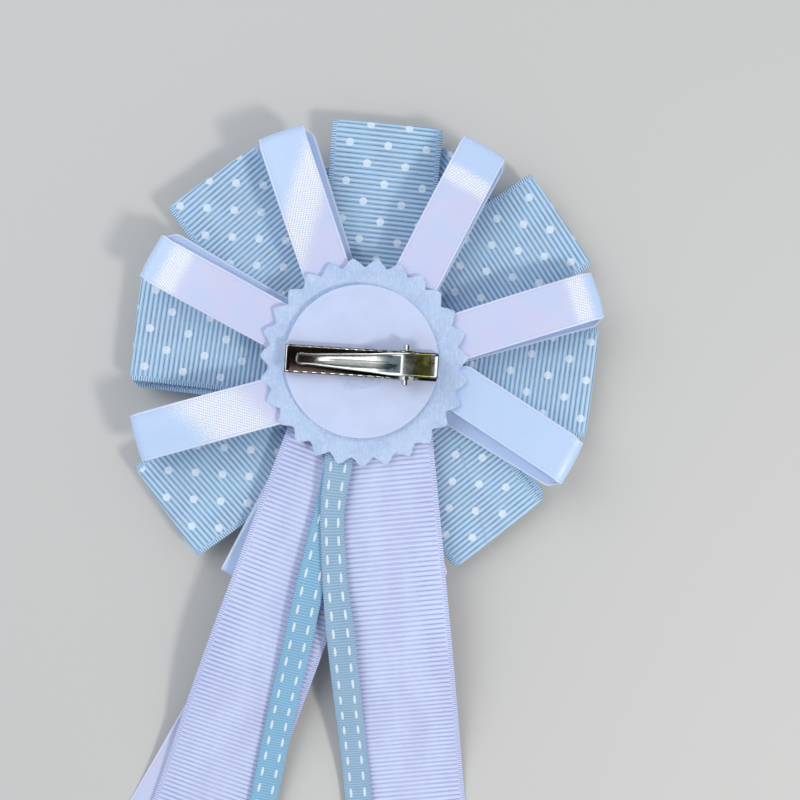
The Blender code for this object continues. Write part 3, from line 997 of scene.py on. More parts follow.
@dataclass
class Profile:
    """A loop's line in its own plane, read by length along the ribbon."""

    points: list[Triple]
    lengths: list[float]
    fold: float
    last: float

    def read(self, at: float) -> tuple[float, float, float, float, float]:
        """Read the line.

        Args:
            at: length along the ribbon.

        Returns:
            The place outwards, the height, the share of the front half, and the normal outwards and upwards.
        """
        k = min(max(bisect.bisect_right(self.lengths, at) - 1, 0), len(self.lengths) - 2)
        share = (at - self.lengths[k]) / (self.lengths[k + 1] - self.lengths[k])
        first, last = self.points[k], self.points[k + 1]
        s, z, front = (first[i] + (last[i] - first[i]) * share for i in range(3))
        a, b = self.points[max(0, k - 1)], self.points[min(len(self.points) - 1, k + 2)]
        run = math.dist(a[:2], b[:2])
        return s, z, front, (b[1] - a[1]) / run, -(b[0] - a[0]) / run


@dataclass
class LoopRing:
    """One tier of ribbon loops, listed with the clock turning down, so that neighbours are known."""

    ribbon: Ribbon
    places: tuple[LoopPlace, ...]
    rise: tuple[Triple, ...]
    flat_rise: tuple[Triple, ...]
    inner: float
    slot: str
    outside: Material
    inside: Material
    nose: float = 1.3
    cad_cloth: float = 1.0
    gap: float = 0.3
    ply_step: float = 0.7
    fold_steps: int = 14
    bow_from: float = 30.0
    pinch: float = 0.2
    ripple: float = 0.22
    ripple_length: float = 9.0

    def profile(self, place: LoopPlace) -> Profile:
        """The loop's line: the front half outwards, round the fold and the back half inwards.

        Args:
            place: the loop.

        Returns:
            Its line.
        """
        rise = self.flat_rise if place.flat else self.rise
        fold = place.reach * math.cos(math.radians(place.tip_deg - place.line_deg))
        radius = (rise[-1][2] - rise[-1][1]) / 2.0
        last = fold - radius - self.cad_cloth / 2.0
        count = round((last - self.inner) / self.ply_step)
        plies = []
        for column in (1, 2):
            heights = [on_table(rise, i / count, column) for i in range(count + 1)]
            reaches = [min(5, i, count - i) for i in range(count + 1)]
            windows = [heights[i - reach:i + reach + 1] for i, reach in enumerate(reaches)]
            plies.append([sum(window) / len(window) for window in windows])
        stations = [self.inner + (last - self.inner) * i / count for i in range(count + 1)]
        line = [(stations[i], plies[0][i], 1.0) for i in range(count)]
        middle = (rise[-1][2] + rise[-1][1]) / 2.0
        for i in range(self.fold_steps + 1):
            share = i / self.fold_steps
            turn = math.pi * i / self.fold_steps - math.pi / 2.0
            line.append((last + (radius + self.nose) * math.cos(turn), middle + radius * math.sin(turn), 1.0 - share))
        for i in reversed(range(count)):
            share = min(1.0, max(0.0, (stations[i] - self.bow_from) / (last - self.bow_from)))
            arch = place.bow * math.sin(math.pi * share) ** 1.3
            line.append((stations[i], plies[1][i] + arch, 0.0))
        lengths = [0.0]
        for a, b in zip(line, line[1:]):
            lengths.append(lengths[-1] + math.dist(a[:2], b[:2]))
        return Profile(line, lengths, fold, last)

    def limit(self, out: float, turn_deg: float) -> float:
        """Most sideways reach before the plane half-way to a neighbour."""
        turn = math.radians(turn_deg)
        return (out * math.sin(turn) - self.gap / 2.0) / math.cos(turn)

    def surface(self, index: int) -> tuple[Profile, Callable[[float, float], Spot]]:
        """The middle surface of one loop.

        Args:
            index: which loop of the ring.

        Returns:
            Its line, and the function that gives a spot on it.
        """
        place = self.places[index]
        before = self.places[(index + 1) % len(self.places)]
        after = self.places[index - 1]
        profile = self.profile(place)
        total = profile.lengths[-1]
        apex = profile.lengths[max(range(len(profile.points)), key=lambda i: profile.points[i][0])]
        aside = place.reach * math.sin(math.radians(place.tip_deg - place.line_deg))
        upper = ((after.tip_deg - place.tip_deg) % 360.0) / 2.0 + place.tip_deg - place.line_deg + after.divide_deg
        lower = ((place.tip_deg - before.tip_deg) % 360.0) / 2.0 - place.tip_deg + place.line_deg - place.divide_deg
        skew, grain, turn = (math.tan(math.radians(a)) for a in (place.skew_deg, place.grain_deg, place.turn_deg))
        angle = math.radians(place.line_deg)
        out, across = Vector((math.cos(angle), math.sin(angle), 0.0)), Vector((-math.sin(angle), math.cos(angle), 0.0))
        half = self.ribbon.width / 2.0

        def sideways(s: float, front: float, share: float) -> float:
            """Where a point lies across the loop, short of its neighbours.

            Args:
                s: place outwards.
                front: share of the front half.
                share: place across the ribbon from -1 to 1.

            Returns:
                The place across, in millimetres.
            """
            inwards = max(0.0, profile.fold - s)
            lean = place.lean * smoothstep((profile.fold + 2.0 - s) / 5.0)
            middle = aside + (1.0 - front) * turn * inwards + front * (skew * inwards + lean)
            edge = half - self.pinch * smoothstep((s - profile.last) / (profile.fold - profile.last + 0.6)) ** 2
            high = min(middle + edge, self.limit(s, upper))
            low = max(middle - edge, -self.limit(s, lower))
            return (high + low) / 2.0 + (high - low) / 2.0 * share

        def spot(at: float, share: float) -> Spot:
            """The spot at a length along the ribbon and a place across it.

            Args:
                at: length along the ribbon.
                share: place across it from -1 to 1.

            Returns:
                The spot.
            """
            s, _, front, _, _ = profile.read(at)
            p = sideways(s, front, share)
            fade = smoothstep(min(at, total - at) / 9.0)
            turned = at + (p - aside) * grain * fade
            s, z, front, normal_s, normal_z = profile.read(turned)
            p = sideways(s, front, share)
            wave = self.ripple * math.sin(turned / self.ripple_length + 2.0 * index)
            wave *= smoothstep((s - 45.0) / 20.0) * (1.0 - front)
            far = turned - apex
            normal = out * normal_s + Vector((0.0, 0.0, normal_z))
            # On satin loops this places the painted highlight band.
            along = (at - apex - place.print_and_sheen_along - place.slant * (p - aside)) / place.spread
            dots = (p - aside + far * grain - place.dot_across, along)
            return Spot(out * s + across * p + Vector((0.0, 0.0, z + wave)), normal, share * half, dots)

        return profile, spot

    def build(self) -> None:
        """Make and dress every loop of the tier."""
        for index, place in enumerate(self.places):
            profile, surface = self.surface(index)
            length = profile.lengths[-1]
            piece, area = self.ribbon.sheet("ribbon_" + place.name, length, surface)
            piece.data.materials.append(self.outside)
            piece.data.materials.append(self.inside)
            dress(piece, self.outside, self.slot, "rosette", place.name)


@dataclass(frozen=True)
class TailPlace:
    """One hanging tail: its middle line as (y, x, width), its ends, its slanting cut and its heights."""

    name: str
    start: float
    end: float
    cut: float
    high: float
    low: float
    line: tuple[Triple, ...]
    slot: str


@dataclass
class Tail:
    """A ribbon that hangs from the rosette, laid out on the table."""

    place: TailPlace
    ribbon: Ribbon
    drop_from: float = -86.0
    drop_to: float = -156.0
    cad_cloth: float = 1.0
    least_height: float = 0.47
    ripple: float = 0.25
    ripple_length: float = 11.0
    least_sheet: float = 10.0

    def __post_init__(self) -> None:
        """Ease the middle line and measure it, a point each millimetre of y."""
        self.rising = tuple(sorted(self.place.line))
        low_end = int(self.place.end - abs(self.place.cut)) - 1
        reach = 5.0 if len(self.rising) > 2 else 0.0
        self.path: list[Triple] = []
        for i in range(int(self.place.start - low_end) + 1):
            y = self.place.start - i
            x = sum(on_table(self.rising, y + reach * k / 3.0, 1) for k in range(-3, 4)) / 7.0
            self.path.append((x, y, on_table(self.rising, y, 2)))
        self.lengths = [0.0]
        for a, b in zip(self.path, self.path[1:]):
            rise = self.height(b[1]) - self.height(a[1])
            self.lengths.append(self.lengths[-1] + math.hypot(math.dist(a[:2], b[:2]), rise))

    def height(self, y: float) -> float:
        """Height of the tail's middle at y, on the curve that all tails share."""
        share = smoothstep((y - self.drop_to) / (self.drop_from - self.drop_to))
        return self.place.low + (self.place.high - self.place.low) * share + self.cad_cloth / 2.0

    def spot(self, at: float, share: float) -> Spot:
        """The spot at a length along the tail and a place across it.

        Args:
            at: length along the tail.
            share: place across it from -1 to 1.

        Returns:
            The spot.
        """
        k = min(max(bisect.bisect_right(self.lengths, at) - 1, 0), len(self.lengths) - 2)
        part = (at - self.lengths[k]) / (self.lengths[k + 1] - self.lengths[k])
        a, b = self.path[k], self.path[k + 1]
        x, y, width = (a[i] + (b[i] - a[i]) * part for i in range(3))
        run = Vector((b[0] - a[0], b[1] - a[1], 0.0)).normalized()
        u = share * width / 2.0
        place = Vector((x - run.y * u, y + run.x * u, 0.0))
        wave = self.ripple * math.sin(place.y / self.ripple_length + self.place.high)
        wave *= abs(share) * smoothstep((-place.y - 40.0) / 20.0)
        place.z = max(self.height(place.y) + wave, self.least_height)
        slope = self.height(place.y - 0.5) - self.height(place.y + 0.5)
        return Spot(place, Vector((0.0, slope, 1.0)).normalized(), share * self.ribbon.width / 2.0, (u, at))

    def build(self, outside: Material, trims: tuple[Thing, ...] = ()) -> None:
        """Make the tail.

        Args:
            outside: its material.
            trims: not used.
        """
        piece, area = self.ribbon.sheet("ribbon_" + self.place.name, self.lengths[-1], self.spot)
        self.cut_end(piece)
        piece.data.materials.append(outside)
        piece.data.materials.append(outside)
        dress(piece, outside, self.place.slot, "rosette", self.place.name)

    def cut_end(self, piece: Thing) -> None:
        """Cut the free end on a slant and close it.

        Args:
            piece: the tail.
        """
        width = on_table(self.rising, self.place.end, 2)
        work = bmesh.new()
        work.from_mesh(piece.data)
        spot = Vector((on_table(self.rising, self.place.end, 1), self.place.end, 0.0)) * MM
        plane = Vector((-2.0 * self.place.cut / width, -1.0, 0.0)).normalized()
        everything = work.verts[:] + work.edges[:] + work.faces[:]
        cut = bmesh.ops.bisect_plane(work, geom=everything, plane_co=spot, plane_no=plane, clear_outer=True)
        rim = [e for e in cut["geom_cut"] if isinstance(e, bmesh.types.BMEdge)]
        bmesh.ops.holes_fill(work, edges=rim, sides=0)
        bmesh.ops.recalc_face_normals(work, faces=work.faces)
        work.to_mesh(piece.data)
        work.free()


@dataclass
class Stitches:
    """Two rows of white saddle stitches along a teal tail."""

    length: float = 3.5
    width: float = 0.95
    pitch: float = 6.2
    apart: float = 4.8
    margin: float = 3.0
    lift: float = 0.24

    def stitch(self) -> bpy.types.Mesh:
        """One stitch, a flattened bead of thread that dips at its ends.

        Returns:
            Its mesh, along Y.
        """
        deselect_all()
        bpy.ops.mesh.primitive_uv_sphere_add(segments=10, ring_count=8, radius=0.5 * MM)
        bead = bpy.context.object
        with editing():
            bpy.ops.mesh.select_all(action="SELECT")
            bpy.ops.transform.rotate(value=math.pi / 2.0, orient_axis="X", center_override=(0.0, 0.0, 0.0))
            bpy.ops.transform.resize(value=(self.width, self.length, 0.5))
            pick(bead, lambda c, n: abs(c.y) < self.length * 0.42, "VERT")
            bpy.ops.transform.resize(value=(1.1, 1.12, 1.05))
        mesh = bead.data
        bpy.data.objects.remove(bead)
        for face in mesh.polygons:
            face.use_smooth = True
        return mesh

    def sew(self, tail: Tail, material: Material) -> Thing:
        """Copy the stitch along both rows of a tail and join the copies.

        Args:
            tail: the tail that is sewn.
            material: the thread.

        Returns:
            All stitches of the tail as one piece.
        """
        bead = self.stitch()
        copies = []
        at = self.margin
        while at < tail.lengths[-1] - self.margin:
            for sign in (-1.0, 1.0):
                share = sign * self.apart / tail.ribbon.width
                spot, ahead = tail.spot(at, share), tail.spot(at + 1.0, share)
                if spot.place.y < tail.place.end + 4.0 - sign * tail.place.cut / 2.0:
                    continue
                run = (ahead.place - spot.place).normalized()
                aside = run.cross(spot.normal).normalized()
                up = aside.cross(run)
                turn = Matrix((aside, run, up)).transposed().to_4x4()
                copy = bpy.data.objects.new("stitch", bead.copy())
                bpy.context.collection.objects.link(copy)
                copy.matrix_world = Matrix.Translation((spot.place + up * self.lift) * MM) @ turn
                copies.append(copy)
            at += self.pitch
        deselect_all()
        for copy in copies:
            copy.select_set(True)
        bpy.context.view_layer.objects.active = copies[0]
        bpy.ops.object.join()
        piece = settle(copies[0], "stitches_" + tail.place.name)
        bpy.data.meshes.remove(bead)
        dress(piece, material, tail.place.slot, "rosette")
        return piece


@dataclass
class FeltDisc:
    """The pinked felt disc, draped over the ribbons below it. Sizes in millimetres."""

    teeth: int = 27
    tip_radius: float = 34.7
    notch_radius: float = 31.8
    notch_deg: float = 9.2
    centre: tuple[float, float] = (0.7, -0.2)
    floor: float = 17.15
    thickness: float = 1.35
    sag: float = 2.1
    hang: float = 1.15
    held_radius: float = 24.5
    per_tooth: int = 14
    fray: float = 0.34
    circles: tuple[float, ...] = (3.0, 9.0, 15.0, 20.0, 24.0, 26.0, 27.2, 28.2, 29.1, 29.9, 30.6, 31.2)

    def outline(self, turn: float) -> float:
        """Radius of the pinked edge.

        Args:
            turn: share of a turn from a notch.

        Returns:
            The radius.
        """
        beat = (turn * self.teeth) % 1.0
        point = 1.0 - abs(2.0 * beat - 1.0)
        rounded = 0.45 * point + 0.55 * smoothstep(1.04 * point)
        return self.notch_radius + (self.tip_radius - self.notch_radius) * rounded

    def under(self, x: float, y: float, loops: tuple[LoopPlace, ...]) -> float:
        """Height of the felt's underside: it lies on the satin loops and sags between them at its rim.

        Args:
            x: place to the right.
            y: place away from the tails.
            loops: the satin loops.

        Returns:
            The height.
        """
        rim = smoothstep((math.hypot(x, y) - self.held_radius) / 8.5)
        held = 0.0
        for place in loops:
            if place.flat:
                continue
            line = math.radians(place.line_deg)
            aside = place.reach * math.sin(math.radians(place.tip_deg - place.line_deg))
            off = abs(-x * math.sin(line) + y * math.cos(line) - aside)
            if x * math.cos(line) + y * math.sin(line) > 0.0:
                held = max(held, 1.0 - smoothstep((off - 8.0) / 3.2))
        held = max(held, 1.0 - smoothstep((abs(x + 7.6) - 5.0) / 3.0) if y < 0.0 else 0.0)
        side = smoothstep((-y - 21.0) / 6.0) * max(smoothstep((-14.0 - x) / 4.0), smoothstep((x + 1.0) / 4.0))
        return self.floor - rim * (self.sag * side + self.hang * (1.0 - held) * (1.0 - side))

    def build(self, material: Material, loops: tuple[LoopPlace, ...]) -> None:
        """Make the felt disc.

        Args:
            material: the felt.
            loops: the satin loops that hold it up.
        """
        sides = self.teeth * self.per_tooth
        rings = [[(c, c) for _ in range(sides)] for c in self.circles]
        for share in (0.34, 0.7, 1.0):
            ring = []
            for j in range(sides):
                frayed = math.sin(12.9898 * j + 4.1 * share) * 43758.5453 % 1.0 - 0.5
                edge = self.outline(j / sides) + self.fray * frayed * share
                ring.append((self.circles[-1] + (edge - self.circles[-1]) * share, share))
            rings.append(ring)
        work = bmesh.new()
        grids = []
        for lift in (0.0, self.thickness):
            grid = []
            for ring in rings:
                line = []
                for j, (radius, share) in enumerate(ring):
                    angle = math.radians(self.notch_deg) + TAU * j / sides
                    x = self.centre[0] + radius * math.cos(angle)
                    y = self.centre[1] + radius * math.sin(angle)
                    fluff = 0.05 * math.sin(9.1 * x + 3.7 * y) * math.sin(5.3 * y - 2.9 * x)
                    line.append(work.verts.new(Vector((x, y, self.under(x, y, loops) + lift + fluff)) * MM))
                grid.append(line)
            grids.append(grid)
        for grid in grids:
            for inner, outer in zip(grid, grid[1:]):
                for j in range(sides):
                    k = (j + 1) % sides
                    work.faces.new((inner[j], outer[j], outer[k], inner[k]))
            work.faces.new(grid[0])
        for j in range(sides):
            k = (j + 1) % sides
            work.faces.new((grids[0][-1][j], grids[0][-1][k], grids[1][-1][k], grids[1][-1][j]))
        bmesh.ops.recalc_face_normals(work, faces=work.faces)
        piece = from_work("felt_pinked_disc", work)
        bevel(piece, 0.22, 50.0, 40.0)
        dress(piece, material, "felt", "rosette", "felt_disc")


# ---- Clip, glue and button


@dataclass
class HairClip:
    """The sprung metal clip: a toothed tray, the prong with its thumb lever, and the pin. Sizes in millimetres."""

    turn_deg: float = -3.6
    centre: tuple[float, float] = (0.0, -0.5)
    floor: float = 20.5
    half_length: float = 25.0
    half_width: float = 4.6
    metal: float = 0.6
    wall: float = 2.6
    pivot: Triple = (15.0, 0.0, 4.4)
    hole: float = 1.1
    pin_radius: float = 0.8
    tooth_pitch: float = 0.75
    teeth_from: float = -23.4
    teeth_to: float = 9.3
    ear_height: float = 3.2
    lever_depth: float = 1.2
    lever_rows: tuple[Triple, ...] = (
        (-21.5, 0.8, 1.2), (-21.25, 1.35, 1.1), (-20.8, 1.75, 1.05), (-20.0, 2.0, 1.0), (-19.0, 2.0, 1.0),
        (-17.6, 1.85, 1.0), (-15.0, 1.95, 1.1), (-13.0, 2.1, 1.2), (-11.0, 2.2, 1.4), (-8.0, 2.4, 1.65),
        (-5.0, 2.6, 2.0), (-2.5, 2.75, 2.35), (0.0, 2.9, 2.7), (3.0, 3.05, 3.3), (6.0, 3.3, 3.95),
        (9.0, 3.6, 4.8), (11.0, 3.68, 5.45), (12.6, 3.7, 6.05), (14.0, 3.7, 6.4), (16.0, 3.7, 6.5),
        (17.6, 3.7, 6.6), (19.0, 3.74, 6.75), (21.0, 3.8, 7.0), (23.5, 3.8, 7.35), (25.0, 3.8, 7.55),
    )

    def place(self) -> Matrix:
        """Where the clip lies on the card."""
        spot = Vector((*self.centre, self.floor)) * MM
        return Matrix.Translation(spot) @ Matrix.Rotation(math.radians(self.turn_deg), 4, "Z")

    def drill(self, piece: Thing) -> None:
        """Cut the pin's hole across a piece.

        Args:
            piece: the tray or the lever.
        """
        cutter = add_round(32, self.hole, 20.0, self.pivot, lying=True)
        finish_modifier(piece, "BOOLEAN", operation="DIFFERENCE", solver="EXACT", object=cutter)
        bpy.data.objects.remove(cutter)

    def tray(self, material: Material) -> None:
        """Make the tray with its waved teeth and its ears.

        Args:
            material: the plated steel.
        """
        piece = add_block(2.0 * self.half_length, 2.0 * self.half_width, self.wall)
        brim = self.wall - 0.1
        with editing():
            pick(piece, lambda c, n: n.z > 0.9)
            inset(self.metal)
            extrude(z=self.metal - self.wall)
            teeth = [self.teeth_from + self.tooth_pitch * i for i in range(44)]
            slice_at(0, teeth + [11.2, 12.4, 12.9, 13.6, 16.4, 17.1, 17.6, 18.8, 20.5])
            for beats, depth in (((2,), 0.55), ((1, 3), 0.27)):
                pick(piece, lambda c, n: c.z > brim and c.x < self.teeth_to and abs(c.y) > 3.5
                     and round((c.x - self.teeth_from) / self.tooth_pitch) % 4 in beats, "VERT")
                move(z=-depth)
            pick(piece, lambda c, n: n.z > 0.9 and c.z > brim and 12.4 < c.x < 17.6)
            extrude(z=self.ear_height)
            for low, high, lift in ((13.6, 16.4, 0.45), (12.8, 17.2, 0.25), (12.3, 12.5, -1.0), (17.5, 17.7, -1.0)):
                pick(piece, lambda c, n: c.z > 5.0 and low - 0.01 < c.x < high + 0.01, "VERT")
                move(z=lift)
            for low, high, depth in ((18.7, 26.0, 0.8), (-26.0, -24.0, 0.5)):
                pick(piece, lambda c, n: brim < c.z < self.wall + 0.1 and low < c.x < high, "VERT")
                move(z=-depth)
        self.drill(piece)
        bevel(piece, 0.13, 40.0, 35.0)
        settle(piece, "clip_tray", self.place())
        dress(piece, material, "chrome", "rosette", "clip_base")

    def lever(self, material: Material) -> None:
        """Make the prong and thumb lever, pressed from one sheet.

        Args:
            material: the plated steel.
        """
        rows = self.lever_rows
        piece = add_block(rows[-1][0] - rows[0][0], 2.0, self.lever_depth, (rows[-1][0] + rows[0][0]) / 2.0)
        with editing():
            slice_at(0, [row[0] for row in rows[1:-1]])
            for x, half, plate in rows:
                pick(piece, lambda c, n: abs(c.x - x) < 0.01, "VERT")
                bpy.ops.transform.resize(value=(1.0, half, 1.0), center_override=(x * MM, 0.0, 0.0))
                move(z=plate)
            pick(piece, lambda c, n: n.z > 0.7)
            inset(0.48)
            extrude(z=-self.metal)
            slice_at(1, [-1.0, -0.5, 0.0, 0.5, 1.0])
            for reach, lift in ((0.6, 0.35), (0.1, 0.30)):
                pick(piece, lambda c, n: abs(c.y) < reach and -12.5 < c.x < 10.0 and n.z > 0.3
                     and abs(c.z - 0.6 - on_table(rows, c.x, 2)) < 0.45, "VERT")
                move(z=lift)
            slice_at(1, [-3.1, 3.1])
            for low, high, depth in ((11.0, 19.0, 1.5), (12.6, 17.6, 2.0)):
                pick(piece, lambda c, n: n.z < -0.7 and abs(c.y) > 3.1 and low < c.x < high)
                extrude(z=-depth)
        self.drill(piece)
        bevel(piece, 0.12, 35.0, 40.0)
        settle(piece, "clip_prong_lever", self.place())
        dress(piece, material, "chrome", "lever", "clip_lever")

    def pin(self, material: Material) -> None:
        """Make the pin with a domed head at each end.

        Args:
            material: the plated steel.
        """
        piece = add_round(32, self.pin_radius, 9.8, self.pivot, lying=True)
        spot = Vector(self.pivot) * MM
        for sign in (-1.0, 1.0):
            with editing():
                pick(piece, lambda c, n: n.y * sign > 0.9)
                for length, scale in ((0.01, 1.87), (1.5, 1.0), (0.38, 0.7)):
                    extrude(y=sign * length)
                    bpy.ops.transform.resize(value=(scale, 1.0, scale), center_override=spot)
        smooth_by_angle(piece)
        settle(piece, "clip_pivot_pin", self.place())
        dress(piece, material, "chrome", "rosette", "clip_pin")


@dataclass
class Glue:
    """The squeezed blob of glue under the clip and one fine thread of it. Sizes in millimetres."""

    radius: float = 7.9
    centre: tuple[float, float] = (0.3, -1.8)
    floor: float = 20.21
    height: float = 0.26
    thread: float = 0.16
    thread_height: float = 8.35
    sides: int = 6
    route: tuple[tuple[float, float], ...] = (
        (33.0373, -28.5562), (34.7608, -34.0714), (36.829, -40.6207), (38.8972, -47.17), (40.6207, -54.064),
        (41.9995, -59.5792), (43.3783, -63.3709), (45.7912, -65.4391), (46.8253, -67.1626), (45.1018, -68.8861))

    def blob(self, material: Material) -> None:
        """Make the blob between the card and the clip.

        Args:
            material: the glue.
        """
        cx, cy = self.centre
        piece = add_round(72, self.radius, self.height, (cx, cy, self.floor + self.height / 2.0))
        with editing():
            pick(piece, lambda c, n: n.z > 0.9)
            inset(1.0)
            inset(1.6)
        for point in piece.data.vertices:
            x, y = point.co.x / MM - cx, point.co.y / MM - cy
            turn = math.atan2(y, x)
            swell = 1.0
            for waves, depth, shift in ((2.0, 0.09, 0.7), (5.0, 0.06, 0.0), (9.0, 0.03, 2.0)):
                swell += depth * math.sin(waves * turn + shift)
            point.co.xy = (cx + x * swell) * MM, (cy + y * swell) * MM
            if math.hypot(x, y) > self.radius - 0.2 and point.co.z > (self.floor + 0.1) * MM:
                point.co.z = (self.floor + 0.08) * MM
        smooth_by_angle(piece, 60.0)
        settle(piece, "glue_blob")
        dress(piece, material, "card", "rosette")

    def strand(self, material: Material) -> None:
        """Make the fine thread of glue that lies over the fourth dotted loop.

        Args:
            material: the glue.
        """
        points = [Vector((x, y, self.thread_height)) for x, y in self.route]
        fine = [a.lerp(b, k / 4.0) for a, b in zip(points, points[1:]) for k in range(4)] + points[-1:]
        turns = [TAU * j / self.sides for j in range(self.sides)]
        work = bmesh.new()
        rings = []
        for i, spot in enumerate(fine):
            run = (fine[min(i + 1, len(fine) - 1)] - fine[max(i - 1, 0)]).normalized()
            offs = [Vector((-run.y * math.cos(t), run.x * math.cos(t), math.sin(t))) for t in turns]
            rings.append([work.verts.new((spot + off * self.thread / 2.0) * MM) for off in offs])
        for a, b in zip(rings, rings[1:]):
            for j in range(self.sides):
                k = (j + 1) % self.sides
                work.faces.new((a[j], a[k], b[k], b[j]))
        work.faces.new(rings[0])
        work.faces.new(rings[-1])
        bmesh.ops.recalc_face_normals(work, faces=work.faces)
        for face in work.faces:
            face.smooth = True
        dress(from_work("glue_thread", work), material, "card", "rosette")


@dataclass
class FrontButton:
    """The plain covered button on the front, on which the rosette lies. Sizes in millimetres."""

    radius: float = 25.0
    height: float = 3.0

    def build(self, material: Material) -> None:
        """Make the button.

        Args:
            material: its woven cover.
        """
        piece = add_round(96, self.radius, self.height, (0.0, 0.0, self.height / 2.0))
        with editing():
            pick(piece, lambda c, n: n.z < -0.9)
            inset(2.6)
            inset(9.0)
            pick(piece, lambda c, n: n.z > 0.9)
            inset(1.2)
            extrude(z=-0.4)
            pick(piece, lambda c, n: c.z < 0.1 and math.hypot(c.x, c.y) > self.radius - 0.1, "VERT")
            bpy.ops.transform.resize(value=(0.99, 0.99, 1.0))
        bevel(piece, 0.9, 50.0, 40.0, segments=5)
        settle(piece, "covered_button")
        dress(piece, material, "button_cloth", "rosette", "front_button")


# ---- Light and camera


@dataclass
class Studio:
    """The table, the soft lights, the sky and the camera straight above."""

    camera_spot: Triple = (12.7, -12.7, 290.0)
    focal_px: float = 818.0
    frame_px: float = 800.0
    sensor: float = 36.0
    sky: Triple = (0.84, 0.91, 1.0)
    overhead: Triple = (0.06, 0.06, 0.055)

    def table(self, material: Material) -> None:
        """Lay the pale table.

        Args:
            material: its finish.
        """
        deselect_all()
        bpy.ops.mesh.primitive_plane_add(size=6.0, location=(0.0, 0.0, 0.0))
        top = bpy.context.object
        top.name = "table_top"
        top.data.materials.append(material)

    def light(self, name: str, spot: Triple, size: float, watts: float, colour: Triple) -> None:
        """Hang one soft light, aimed at the rosette.

        Args:
            name: its name.
            spot: where it hangs, in metres.
            size: its side, in metres.
            watts: its power.
            colour: its colour.
        """
        lamp = bpy.data.lights.new(name, "AREA")
        lamp.size, lamp.energy, lamp.color = size, watts, colour
        holder = bpy.data.objects.new(name, lamp)
        holder.location = spot
        holder.rotation_euler = (-Vector(spot)).to_track_quat("-Z", "Y").to_euler()
        bpy.context.collection.objects.link(holder)

    def build(self, material: Material) -> None:
        """Set up the table, the lights, the sky, pale low down and dark overhead, and the camera.

        Args:
            material: the table's finish.
        """
        self.table(material)
        self.light("key", (0.55, -0.38, 0.62), 0.13, 3.1, (1.0, 0.95, 0.88))
        self.light("fill", (-0.6, 0.5, 0.9), 1.0, 6.2, (0.95, 0.97, 1.0))
        w = Wiring(bpy.data.worlds.new("sky"), "Background")
        up = w.parts(w.node("ShaderNodeTexCoord").outputs["Generated"])[2]
        height = w.node("ShaderNodeMapRange", up, 0.72, 0.95).outputs[0]
        w.set(color=w.mix(height, self.sky, self.overhead), strength=0.76)
        bpy.context.scene.world = w.owner
        bpy.context.scene.view_settings.view_transform = "Standard"
        view = bpy.data.cameras.new("camera")
        view.sensor_width = self.sensor
        view.lens = self.sensor * self.focal_px / self.frame_px
        view.clip_start = 0.01
        eye = bpy.data.objects.new("camera", view)
        eye.location = Vector(self.camera_spot) * MM
        bpy.context.collection.objects.link(eye)
        bpy.context.scene.camera = eye


# ---- The rosette


DOT_PLACES = (
    LoopPlace("dot_loop_1", 84.0, 81.9, 84.8, grain_deg=-1.0, dot_across=-0.9, print_and_sheen_along=8.5),
    LoopPlace("dot_loop_2", 36.0, 83.6, 33.7, grain_deg=-0.7, dot_across=-1.0, print_and_sheen_along=6.3),
    LoopPlace("dot_loop_3", -5.0, 78.4, -7.5, grain_deg=-0.3, dot_across=0.6, print_and_sheen_along=3.3),
    LoopPlace("dot_loop_4", -51.6, 74.8, -52.4, skew_deg=-2.0, lean=2.6, grain_deg=0.8, dot_across=-1.2,
              print_and_sheen_along=11.8, flat=True),
    LoopPlace("dot_loop_8", -97.3, 77.0, -97.3, flat=True),
    LoopPlace("dot_loop_5", -143.0, 84.2, -144.8, grain_deg=5.8, dot_across=3.2, print_and_sheen_along=11.0),
    LoopPlace("dot_loop_6", 170.4, 78.4, 173.2, skew_deg=0.3, lean=2.2, grain_deg=-1.6, dot_across=0.45, print_and_sheen_along=6.1),
    LoopPlace("dot_loop_7", 128.7, 81.9, 124.9, grain_deg=5.8, dot_across=2.3, print_and_sheen_along=1.7),
)
# Each satin loop's last numbers place its painted highlight band and its bow.
SATIN_PLACES = (
    LoopPlace("satin_loop_1", 109.6, 80.8, 108.4, 1.2, -2.7, print_and_sheen_along=28.0, slant=1.4, spread=13.0, bow=2.6),
    LoopPlace("satin_loop_2", 60.2, 82.2, 59.8, -1.7, -1.1, print_and_sheen_along=15.5, spread=4.2, bow=2.0, turn_deg=-2.5),
    LoopPlace("satin_loop_3", 16.0, 81.4, 17.0, 2.0, -2.2, print_and_sheen_along=8.5, spread=4.2, bow=2.0, divide_deg=3.0),
    LoopPlace("satin_loop_4", -25.6, 77.6, -28.1, 3.4, -3.2, print_and_sheen_along=70.0, spread=5.0, bow=1.4, turn_deg=5.5),
    LoopPlace("satin_loop_8", -74.0, 77.0, -74.0, print_and_sheen_along=30.0, spread=5.0, bow=0.0, flat=True),
    LoopPlace("satin_loop_7", -119.3, 85.2, -119.3, -1.5, print_and_sheen_along=30.0, spread=5.0, bow=0.0, flat=True),
    LoopPlace("satin_loop_5", -161.2, 79.2, -164.7, print_and_sheen_along=33.0, slant=0.6, spread=15.0, bow=2.4),
    LoopPlace("satin_loop_6", 153.5, 78.4, 151.3, 1.6, -3.4, print_and_sheen_along=11.5, spread=5.2, bow=1.8),
)
